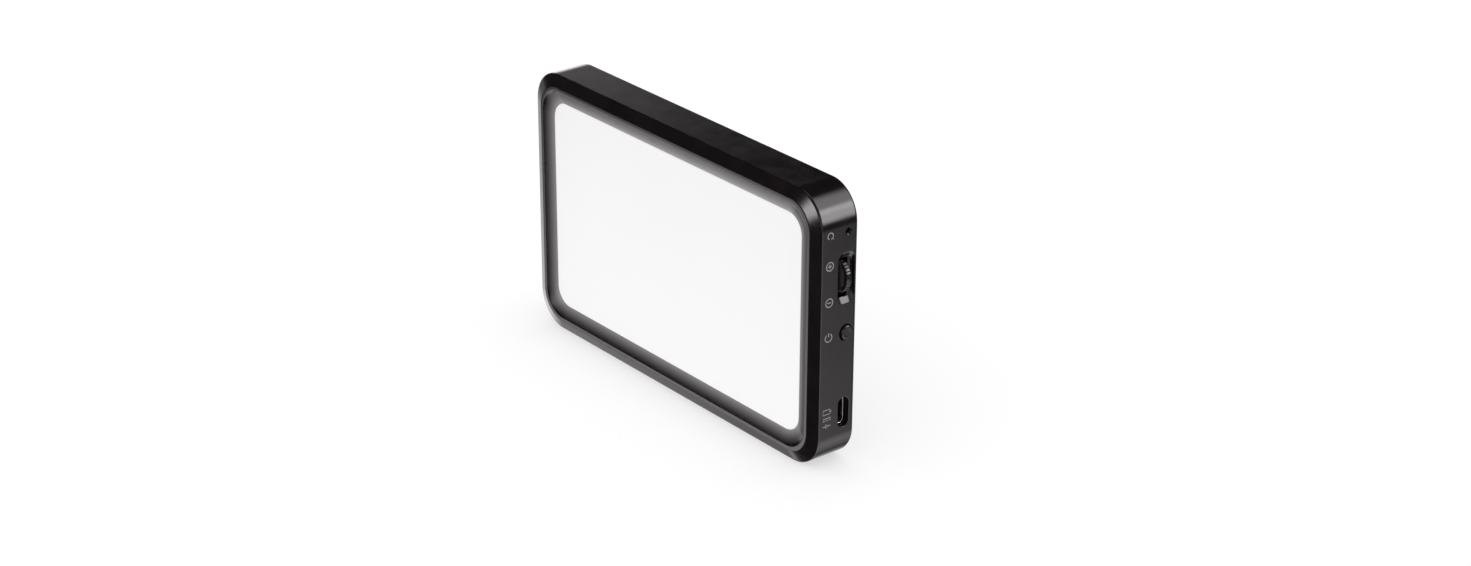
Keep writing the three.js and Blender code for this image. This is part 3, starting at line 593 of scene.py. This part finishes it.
def housing():
    """The frame and side walls: one closed skin round a section, then the posts and cut-outs."""
    in_crest = CHAMFER_WIDTH + CREST_WIDTH
    section = [
        ((BEZEL_BACK, FRAME_WIDTH, WINDOW_RADIUS), 0),
        ((SLOPE_DEPTH, FRAME_WIDTH, WINDOW_RADIUS), ROUNDING["window"]),
        ((0, in_crest, CREST_RADIUS_IN), ROUNDING["crest"]),
        ((0, CHAMFER_WIDTH, CREST_RADIUS_OUT), ROUNDING["crest"]),
        ((CHAMFER_DEPTH, 0, CASE_RADIUS), ROUNDING["chamfer"]),
        ((DEPTH, 0, CASE_RADIUS), ROUNDING["back"]),
        ((DEPTH, COVER_RIM, CASE_RADIUS - COVER_RIM), ROUNDING["rim"]),
        ((LEDGE, COVER_RIM, CASE_RADIUS - COVER_RIM), 0),
        ((LEDGE, WALL, CASE_RADIUS - WALL), ROUNDING["ledge"]),
        ((BEZEL_BACK, WALL, CASE_RADIUS - WALL), 0),
    ]
    body = skinned("housing", [case_ring(*values) for values in softened(section)], closed=True)
    add_posts(body, "cover_screw", COVER_SCREWS, COVER_POST)
    add_posts(body, "tray_screw", TRAY_SCREWS, TRAY_POST)
    cut_wall(body)
    return smooth(body)


# The wheel's dish in the wall, and the slot in the dish's floor that the wheel stands in.
SCOOP = {"front": 7.8, "back": 13.9, "tall": 16.2, "deep": 1.0, "ramp": 1.9, "radius": 2.2}
SLOT = {"front": 8.2, "back": 12.1, "tall": 12.4, "radius": 0.5}
RESET = {"radius": 0.75, "bevel": 0.45, "flare": 0.2}
BUTTON_HOLE = 2.6
# The button hole's lip: x from the wall's face, and how much wider the hole is there.
BUTTON_LIP = [(-0.2, 0), (-0.06, 0.06), (0, 0.2)]
BUTTON_FLARE = 0.4
# The socket opening's lip, in the same way.
USB_LIP = [(-0.32, 0), (-0.1, 0.09), (0, 0.28)]
USB_FLARE = 0.8
USB_OPENING = {"wide": 4.0, "tall": 9.5, "radius": 1.95}


def cut_wall(body):
    """The cut-outs of the right-hand wall, each with a small round or bevelled lip."""
    inside, outside = WALL_X - WALL - PAST, WALL_X + PAST / 2
    wheel = case_middle("thumb_wheel")
    middle = Vector((0, (SCOOP["front"] + SCOOP["back"]) / 2, wheel.z))
    wide, tall, radius = SCOOP["back"] - SCOOP["front"], SCOOP["tall"], SCOOP["radius"]
    flat = tall - 2 * SCOOP["ramp"]
    floor = WALL_X - SCOOP["deep"]
    lip, past = 0.12, 0.5
    combine(body, wall_tool("scoop", [
        (floor, wall_outline(middle, wide - 0.5, flat, radius - 0.4)),
        (floor + 0.12, wall_outline(middle, wide - 0.1, flat + 0.5, radius - 0.2)),
        (WALL_X - 0.1, wall_outline(middle, wide, tall - 0.4, radius)),
        (WALL_X, wall_outline(middle, wide, tall, radius, grow=lip)),
        (outside, wall_outline(middle, wide, tall, radius, grow=past)),
    ]))
    middle.y = (SLOT["front"] + SLOT["back"]) / 2
    slot = {"wide": SLOT["back"] - SLOT["front"], "tall": SLOT["tall"], "radius": SLOT["radius"]}
    combine(body, wall_tool("slot", [
        (inside, wall_outline(middle, **slot)),
        (outside, wall_outline(middle, **slot)),
    ]))

    reset = case_middle("reset_plunger")
    mouth = RESET["radius"] + RESET["bevel"]
    combine(body, turned("reset_hole", [
        (0, inside), (RESET["radius"], inside), (RESET["radius"], WALL_X - RESET["bevel"]),
        (mouth, WALL_X), (mouth + RESET["flare"], outside), (0, outside),
    ], (0, reset.y, reset.z), "X", 40))

    button = case_middle("power_button")
    profile = [(0, inside), (BUTTON_HOLE, inside)]
    profile += [(BUTTON_HOLE + wider, WALL_X + x) for x, wider in BUTTON_LIP]
    profile += [(BUTTON_HOLE + BUTTON_FLARE, outside), (0, outside)]
    combine(body, turned("button_hole", profile, (0, button.y, button.z), "X", 72))

    usb = case_middle("usb_c_shell")
    lips = [(inside, 0)] + [(WALL_X + x, wider) for x, wider in USB_LIP] + [(outside, USB_FLARE)]
    rings = [(x, wall_outline(usb, **USB_OPENING, grow=wider)) for x, wider in lips]
    combine(body, wall_tool("usb_hole", rings))


COVER_GAP = 0.3
# A screw's seat in the cover: its hole, then a cone that opens to the cover's back.
SEAT = {"hole": 1.1, "depth": 0.7, "mouth": 1.8, "flare": 0.25}
FOOT_SEAT = {"radius": 4.2, "depth": 0.5}
BOARD_SCREW_POCKET = {"radius": 2.2, "depth": 0.5}


def cover():
    """The back plate, with seats for its screws and feet."""
    inset = COVER_RIM + COVER_GAP
    radius = CASE_RADIUS - inset
    inner, outer = COVER_LOW.y, COVER_HIGH.y
    soft, softer = 0.06, 0.2
    section = [(inner, 0.0), (outer - softer, 0.0), (outer - soft, soft), (outer, softer)]
    plate = skinned("cover", [case_ring(y, inset + lip, radius - lip) for y, lip in section])

    seat = [
        (0, inner - PAST), (SEAT["hole"], inner - PAST), (SEAT["hole"], outer - SEAT["depth"]),
        (SEAT["mouth"], outer), (SEAT["mouth"] + SEAT["flare"], outer + SEAT["flare"]),
        (0, outer + SEAT["flare"]),
    ]
    for number in range(1, COVER_SCREWS + 1):
        spot = case_middle(f"cover_screw_{number}")
        combine(plate, turned("seat", seat, (spot.x, 0, spot.z), steps=48))
    for number in range(1, FEET + 1):
        spot = case_middle(f"foot_{number}")
        start, end = outer - FOOT_SEAT["depth"], outer + PAST
        combine(plate, rod("seat", FOOT_SEAT["radius"], start, end, (spot.x, 0, spot.z)))
    for number in range(1, BOARD_SCREWS + 1):
        spot = case_middle(f"board_screw_{number}")
        start, end = inner - PAST, inner + BOARD_SCREW_POCKET["depth"]
        combine(plate, rod("pocket", BOARD_SCREW_POCKET["radius"], start, end, (spot.x, 0, spot.z)))
    return smooth(plate)


SCREW = {"tip": 0.45, "taper": 0.6, "shank": 0.7, "head_depth": 0.8}
# The edge of the screw's head: (radius, depth from its face).
SCREW_HEAD_EDGE = [(1.54, -0.12), (1.58, -0.05), (1.5, 0)]
# Half of each bar of the cross recess, and how far the cross turns from one screw to the next.
CROSS_BAR = Vector((0.95, 0.5, 0.18))
CROSS_TURN = math.radians(20)


def cover_screw(number):
    """A countersunk screw with a cross recess."""
    low, high = case_box(f"cover_screw_{number}")
    spot = (low + high) / 2
    centre = (spot.x, high.y, spot.z)
    tip = low.y - high.y
    profile = [
        (0, tip), (SCREW["tip"], tip), (SCREW["shank"], tip + SCREW["taper"]),
        (SCREW["shank"], -SCREW["head_depth"]), *SCREW_HEAD_EDGE, (0, 0),
    ]
    screw = turned("screw", profile, centre, steps=40)
    for turn in (0, QUARTER_TURN):
        bar = brick("bar", -CROSS_BAR, CROSS_BAR)
        spin = Matrix.Rotation(CROSS_TURN * number + turn, 4, "Y")
        place = Matrix.Translation(ORIGIN + Vector(centre) * MM)
        bar.data.transform(place @ spin @ Matrix.Translation(-ORIGIN))
        combine(screw, bar)
    return bevelled(screw, 0.04, segments=2, angle=40)


# A foot's radius and rounded edge, and the shallow hollow in its face.
FOOT = {"radius": 4.0, "round": 0.35, "flat": 1.0, "step": 0.15, "hollow": 0.08}


def foot(number):
    """A rubber foot with a rounded edge and a slightly hollow face."""
    low, high = case_box(f"foot_{number}")
    spot = (low + high) / 2
    reach, tall = FOOT["radius"], high.y - low.y
    rim = reach - FOOT["flat"]
    floor_of_hollow = tall - FOOT["hollow"]
    profile = [(0, 0), (reach, 0), *rounded_edge(reach, tall, FOOT["round"], 6)]
    profile += [(rim, tall), (rim - FOOT["step"], floor_of_hollow), (0, floor_of_hollow)]
    return turned("foot", profile, (spot.x, low.y, spot.z), steps=56)


def diffuser():
    """The opal panel: a plateau in the window with soft edges, on a flange behind the frame."""
    low, high = case_box("diffuser_panel")
    width, height = high.x - low.x, high.z - low.z
    tight = 0.05
    window_w = WIDTH - 2 * FRAME_WIDTH - 2 * tight
    window_h = HEIGHT - 2 * FRAME_WIDTH - 2 * tight
    flange_front, flange_radius = 2.5, 8

    def ring(y, w, h, r):
        return [(u, y, v) for u, v in rounded_rect(w, h, r)]

    plateau = WINDOW_RADIUS - tight
    soft_edge = [(low.y, 0.25), (low.y + 0.05, 0.08), (low.y + 0.22, 0), (flange_front, 0)]
    rings = [ring(y, window_w - 2 * lip, window_h - 2 * lip, plateau - lip) for y, lip in soft_edge]
    rings += [ring(y, width, height, flange_radius) for y in (flange_front, high.y)]
    return smooth(skinned("diffuser", rings))


# ------------------------------------------------------------------ controls


WHEEL_TEETH = 36


def thumb_wheel():
    """A cupped disc whose rim is cut by narrow grooves."""
    low, high = case_box("thumb_wheel")
    centre = (low + high) / 2
    radius, wide = (high.z - low.z) / 2, high.y - low.y
    steps_per_tooth = 12
    rim_inner, hub, web, dish = 4.6, 1.6, 1.0, 0.5
    groove, groove_share, shoulder, run_out = 0.34, 0.32, 0.5, 0.3

    def knurl(angle, r):
        """Flat-topped teeth with rounded shoulders, on the rim only."""
        if r < radius - shoulder:
            return r
        phase = (angle * WHEEL_TEETH / FULL_TURN) % 1
        from_groove = abs(phase - 0.5) / (groove_share / 2)
        dip = max(0.0, 1 - from_groove ** 2)
        fade = min(1.0, (r - (radius - shoulder)) / run_out)
        return r - groove * fade * dip ** 0.5

    bevel = 0.1
    soft_edge = [(0.34, 0), (0.16, 0.05), (0.05, 0.16), (0, 0.34)]
    profile = [
        (hub, 0.62), (hub + 0.12, dish), (rim_inner - 0.2, dish), (rim_inner, dish - 0.15),
        (rim_inner, bevel), (rim_inner + bevel, 0),
    ]
    profile += [(radius - inward, depth) for inward, depth in soft_edge]
    profile += [(radius - inward, wide - depth) for inward, depth in reversed(soft_edge)]
    profile += [
        (rim_inner + bevel, wide), (rim_inner, wide - bevel), (rim_inner, web + bevel),
        (rim_inner - bevel, web), (hub + bevel, web), (hub, web - bevel),
    ]
    steps = WHEEL_TEETH * steps_per_tooth
    return smooth(turned("wheel", profile, (centre.x, low.y, centre.z), steps=steps, wave=knurl), 35)


def power_button():
    """A round cap with a soft edge and a shallow dish, on a stem with a flange behind the wall."""
    low, high = case_box("power_button")
    centre = (low + high) / 2
    radius, face, end = 2.3, high.x, low.x
    stem, edge, bevel = 1.0, 0.55, 0.1
    flange_x, flange_thick, flange_half = WALL_X - WALL - 0.3, 1, 1.5
    behind = flange_x - flange_thick / 2
    profile = [(0, end), (stem - bevel, end), (stem, end + bevel), (stem, behind), (radius, behind)]
    profile += rounded_edge(radius, face, edge, 7)
    profile += [(1.3, face - 0.02), (0.7, face - 0.05), (0, face - 0.06)]
    button = turned("button", profile, (0, centre.y, centre.z), "X", 72)
    flange_low = (flange_x - flange_thick, centre.y - flange_half, low.z)
    flange = brick("flange", flange_low, (flange_x, centre.y + flange_half, high.z))
    combine(button, bevelled(flange, 0.15), "UNION")
    return smooth(button)


# The socket's round ends stop this far short of a full half circle, so that no two points meet.
SHORT_OF_ROUND = 0.01
# The tongue: how deep its root is, half its thickness and half its height.
TONGUE = {"root": 1.6, "sunk": 0.2, "half_thick": 0.35, "half_tall": 3.35}


def usb_shell():
    """The receptacle's drawn shell, with a rolled front edge."""
    low, high = case_box("usb_c_shell")
    centre = (low + high) / 2
    wall = 0.3
    tall, wide = high.z - low.z, high.y - low.y

    def ring(x, shrink):
        outline = rounded_rect(wide - 2 * shrink, tall - 2 * shrink, wide / 2 - shrink - SHORT_OF_ROUND, 16)
        return [(x, centre.y + u, centre.z + v) for u, v in outline]

    section = [
        (low.x, 0), (high.x - 0.12, 0), (high.x - 0.03, 0.04), (high.x, 0.12),
        (high.x, wall - 0.1), (high.x - 0.05, wall - 0.02), (high.x - 0.15, wall), (low.x, wall),
    ]
    rings = [ring(x, shrink) for x, shrink in section]
    return smooth(skinned("usb_shell", rings, closed=True), 40)


def usb_tongue():
    """The socket's plastic root and the thin tongue that stands out of it."""
    low, high = case_box("usb_c_tongue")
    centre = (low + high) / 2
    root = low.x + TONGUE["root"]
    wide, tall = high.y - low.y, high.z - low.z
    outline = rounded_rect(wide, tall, wide / 2 - SHORT_OF_ROUND, 16)
    rings = [[(x, centre.y + u, centre.z + v) for u, v in outline] for x in (low.x, root)]
    plug = skinned("usb_tongue", rings)
    thick, height = TONGUE["half_thick"], TONGUE["half_tall"]
    tongue_low = (root - TONGUE["sunk"], centre.y - thick, centre.z - height)
    tongue = brick("tongue", tongue_low, (high.x, centre.y + thick, centre.z + height))
    return smooth(combine(plug, bevelled(tongue, 0.12), "UNION"))


def usb_contacts():
    """Twelve gold strips on each face of the tongue, as one piece."""
    low, high = case_box("usb_c_tongue")
    centre = (low + high) / 2
    pitch, half_width, count, proud = 0.5, 0.13, 12, 0.02
    start, end = low.x + 2.0, high.x - 0.6
    points, faces = [], []
    for side in (-1, 1):
        y0 = centre.y + side * TONGUE["half_thick"]
        y1 = y0 + side * proud
        for i in range(count):
            z = centre.z + (i - (count - 1) / 2) * pitch
            base = len(points)
            for x in (start, end):
                for y, dz in ((y0, -half_width), (y1, -half_width), (y1, half_width), (y0, half_width)):
                    points.append((x, y, z + dz))
            quads = [(0, 1, 2, 3), (7, 6, 5, 4)]
            quads += [(j, j + 4, (j + 1) % 4 + 4, (j + 1) % 4) for j in range(4)]
            faces += [tuple(base + v for v in quad) for quad in quads]
    return face_out(make_object("usb_contacts", points, faces))


# ------------------------------------------------------------------ printed symbols

PRINT_Y = 4.6
PRINT_SINK, PRINT_RAISE = 0.01, 0.02


class Print:
    """Flat strokes on the right-hand wall, a little proud of it. u runs back, v runs up."""

    def __init__(self, z, y=PRINT_Y):
        self.y, self.z = y, z
        self.points, self.faces = [], []

    def ribbon(self, path, width, closed=False):
        count = len(path)
        sides = []
        for i, (u, v) in enumerate(path):
            before = path[i - 1] if closed or i else path[i]
            after = path[(i + 1) % count] if closed or i + 1 < count else path[i]
            along = Vector((after[0] - before[0], after[1] - before[1])).normalized()
            across = Vector((-along.y, along.x)) * width / 2
            sides.append(((u + across.x, v + across.y), (u - across.x, v - across.y)))
        base = len(self.points)
        for left, right in sides:
            for x in (WALL_X - PRINT_SINK, WALL_X + PRINT_RAISE):
                for u, v in (left, right):
                    self.points.append((x, self.y + u, self.z + v))
        spans = count if closed else count - 1
        for i in range(spans):
            a, b = base + 4 * i, base + 4 * ((i + 1) % count)
            for p, q in ((0, 1), (1, 3), (3, 2), (2, 0)):
                self.faces.append((a + p, a + q, b + q, b + p))
        if not closed:
            end = base + 4 * (count - 1)
            self.faces.append((base, base + 2, base + 3, base + 1))
            self.faces.append((end, end + 1, end + 3, end + 2))
        return self

    def arc(self, radius, start, end, width, steps=40):
        closed = end - start >= 360
        turns = steps if closed else steps + 1
        path = []
        for i in range(turns):
            angle = math.radians(start + (end - start) * i / steps)
            path.append((radius * math.cos(angle), radius * math.sin(angle)))
        return self.ribbon(path, width, closed)

    def bar(self, u0, v0, u1, v1, width):
        return self.ribbon([(u0, v0), (u1, v1)], width)

    def done(self, name):
        return face_out(make_object(name, self.points, self.faces))


def symbols():
    """Generic signs: restart arrow, plus and minus in rings, power, battery and direct current.

    Each is drawn in millimetres about its own middle.
    """
    stroke, thin, ring, arm = 0.32, 0.27, 1.30, 0.68
    wheel_z = case_middle("thumb_wheel").z
    button_z = case_middle("power_button").z
    reset_z = case_middle("reset_plunger").z
    usb_z = case_middle("usb_c_shell").z

    restart = Print(reset_z + 0.25).arc(1.0, -40, 240, stroke)
    restart.ribbon([(0.28, -1.0), (0.77, -0.64), (1.18, -1.2)], thin)
    plus = Print(wheel_z + 5.2).arc(ring, 0, 360, stroke)
    plus.bar(-arm, 0, arm, 0, stroke)
    for up in (1, -1):
        plus.bar(0, up * stroke / 2, 0, up * arm, stroke)
    minus = Print(wheel_z - 6.2).arc(ring, 0, 360, stroke).bar(-arm, 0, arm, 0, stroke)
    power = Print(button_z + 0.1).arc(1.25, 125, 415, stroke).bar(0, 0.3, 0, 1.5, stroke)

    reach, half, dash = 1.5, 0.75, 0.35
    outline = [(-reach, -half), (1.1, -half), (1.1, half), (-reach, half)]
    battery = Print(usb_z + 1.9).ribbon(outline, thin, True)
    battery.bar(1.45, -dash, 1.45, dash, thin)
    current = Print(usb_z - 0.5).bar(-reach, dash, reach, dash, thin)
    for u in (-1.15, 0, 1.15):
        current.bar(u - dash, -dash, u + dash, -dash, thin)
    cell = Print(usb_z - 2.7).bar(-reach, 0, -0.3, 0, thin).bar(-0.3, -half, -0.3, half, thin)
    cell.bar(0.25, -0.4, 0.25, 0.4, thin).bar(0.25, 0, reach, 0, thin)
    return {
        "print_restart": restart, "print_plus": plus, "print_minus": minus, "print_power": power,
        "print_battery": battery, "print_current": current, "print_cell": cell,
    }


# ------------------------------------------------------------------ put the object together

# The housing wears the frame's plastic with its painted glow.
dress(housing(), FRAME_BLACK_PAINTED_GLOW, "case", "case_black", "front_housing")
dress(cover(), CASE_BLACK, "case", "case_black", "back_cover")
dress(diffuser(), OPAL, "case", "opal", "diffuser_panel")
for number in range(1, COVER_SCREWS + 1):
    screw = cover_screw(number)
    screw.name = f"back_screw_{number}"
    dress(smooth(screw), BLACK_STEEL, "case", "black_steel", f"cover_screw_{number}")
    pad = foot(number)
    pad.name = f"rubber_foot_{number}"
    dress(smooth(pad), RUBBER, "case", "rubber", f"foot_{number}")
dress(thumb_wheel(), CONTROL_BLACK, "wheel", "control_black", "thumb_wheel")
dress(power_button(), CONTROL_BLACK, "button", "control_black", "power_button")
dress(usb_shell(), STEEL, "case", "steel", "usb_c_shell")
dress(usb_tongue(), BLACK_NYLON, "case", "black_plastic", "usb_c_tongue")
dress(usb_contacts(), GOLD, "case", "brass")
for name, drawing in symbols().items():
    dress(drawing.done(name), PRINT, "case", "white_plastic")

# ------------------------------------------------------------------ studio


FLOOR_HALF = 6.0
FLOOR_COLOUR, FLOOR_ROUGHNESS = (0.45, 0.45, 0.45), 0.9
FLOOR_GLOW = 0.57


def floor():
    """A wide pale floor under the object, lit a little by itself so that it nears white."""
    half = FLOOR_HALF
    mesh = bpy.data.meshes.new("floor")
    level = cad_low.z
    corners = [(-half, -half), (half, -half), (half, half), (-half, half)]
    mesh.from_pydata([(x, y, level) for x, y in corners], [], [(0, 1, 2, 3)])
    obj = bpy.data.objects.new("floor", mesh)
    bpy.context.scene.collection.objects.link(obj)
    s = Surface("pale_floor", FLOOR_COLOUR, FLOOR_ROUGHNESS)
    s.set("Specular IOR Level", 0.0)
    s.set("Emission Color", (1, 1, 1, 1))
    s.set("Emission Strength", FLOOR_GLOW)
    obj.data.materials.append(s.material)
    obj.visible_glossy = False


# What the gloss reflects: soft patches of light on a dim surround. Each is a direction,
# the angles in degrees where it starts to fade and where it ends, and its strength.
SOFT_PATCHES = [
    ((0.74, 0.62, 0.25), 8, 22, 6.5),
    ((0.45, 0.62, 0.64), 8, 28, 3.2),
    ((0.66, 0.25, -0.70), 12, 33, 1.95),
    ((0.00, 0.50, -0.86), 15, 45, 1.7),
    ((-0.62, 0.15, -0.77), 18, 30, 5.0),
    ((-0.91, 0.00, -0.42), 6, 24, 4.6),
    ((-0.93, 0.33, 0.10), 8, 26, 8.5),
    ((-0.67, -0.53, -0.53), 2, 14, 3.8),
    ((-0.31, -0.95, -0.03), 2, 11, 9.0),
    ((0.00, 0.96, -0.26), 10, 38, 0.9),
    ((0.95, -0.25, 0.15), 10, 35, 0.9),
    ((0.35, -0.90, 0.25), 8, 30, 0.7),
    ((-0.05, 0.05, 1.00), 8, 28, 0.9),
]
SURROUND = 0.05
GLOSS_TINT = (1.0, 0.955, 0.965)
EVEN_LIGHT = 1.04


def studio():
    """An even pale surround for the camera and for soft light, and the patches for gloss."""
    world = bpy.data.worlds.new("studio")
    bpy.context.scene.world = world
    world.use_nodes = True
    world.cycles.sampling_method = "NONE"
    nodes, links = world.node_tree.nodes, world.node_tree.links
    nodes.clear()

    direction = nodes.new("ShaderNodeTexCoord").outputs["Generated"]
    total = None
    for towards, full, none, strength in SOFT_PATCHES:
        dot = nodes.new("ShaderNodeVectorMath")
        dot.operation = "DOT_PRODUCT"
        dot.inputs[1].default_value = Vector(towards).normalized()
        links.new(direction, dot.inputs[0])
        fade = nodes.new("ShaderNodeMapRange")
        fade.interpolation_type = "SMOOTHSTEP"
        fade.inputs["From Min"].default_value = math.cos(math.radians(none))
        fade.inputs["From Max"].default_value = math.cos(math.radians(full))
        fade.inputs["To Max"].default_value = strength
        links.new(dot.outputs["Value"], fade.inputs["Value"])
        add = nodes.new("ShaderNodeMath")
        add.operation = "ADD"
        add.inputs[0].default_value = SURROUND
        if total:
            links.new(total, add.inputs[0])
        links.new(fade.outputs["Result"], add.inputs[1])
        total = add.outputs[0]

    gloss = nodes.new("ShaderNodeBackground")
    gloss.inputs["Color"].default_value = (*GLOSS_TINT, 1)
    links.new(total, gloss.inputs["Strength"])
    even = nodes.new("ShaderNodeBackground")
    even.inputs["Color"].default_value = (1, 1, 1, 1)
    even.inputs["Strength"].default_value = EVEN_LIGHT
    choose = nodes.new("ShaderNodeMixShader")
    links.new(nodes.new("ShaderNodeLightPath").outputs["Is Glossy Ray"], choose.inputs["Fac"])
    links.new(even.outputs[0], choose.inputs[1])
    links.new(gloss.outputs[0], choose.inputs[2])
    output = nodes.new("ShaderNodeOutputWorld")
    links.new(choose.outputs[0], output.inputs["Surface"])


# The main view: degrees round, up and rolled; metres off; and millimetres of lens and sensor.
CAMERA = {"azimuth": 50.66, "elevation": 24.67, "roll": 0.346, "distance": 0.863, "lens": 69.53}
CAMERA_SENSOR = 36
CAMERA_CLIP = (0.05, 50)
AIM_RIGHT, AIM_UP = 0.02035, -0.0060


def camera():
    """The main view, aimed a little to the right of and below the window's middle."""
    azimuth, elevation, roll = (math.radians(CAMERA[key]) for key in ("azimuth", "elevation", "roll"))
    forward = Vector((
        -math.sin(azimuth) * math.cos(elevation),
        math.cos(azimuth) * math.cos(elevation),
        -math.sin(elevation),
    ))
    level = Vector((math.cos(azimuth), math.sin(azimuth), 0))
    upright = level.cross(forward)
    right = level * math.cos(roll) + upright * math.sin(roll)
    up = upright * math.cos(roll) - level * math.sin(roll)
    data = bpy.data.cameras.new("camera")
    data.lens = CAMERA["lens"]
    data.sensor_width = CAMERA_SENSOR
    data.clip_start, data.clip_end = CAMERA_CLIP
    obj = bpy.data.objects.new("camera", data)
    bpy.context.scene.collection.objects.link(obj)
    place = ORIGIN + right * AIM_RIGHT + up * AIM_UP - forward * CAMERA["distance"]
    turn = Matrix((right, up, -forward)).transposed().to_4x4()
    obj.matrix_world = Matrix.Translation(place) @ turn
    bpy.context.scene.camera = obj


floor()
studio()
camera()
bpy.context.scene.view_settings.view_transform = "Standard"
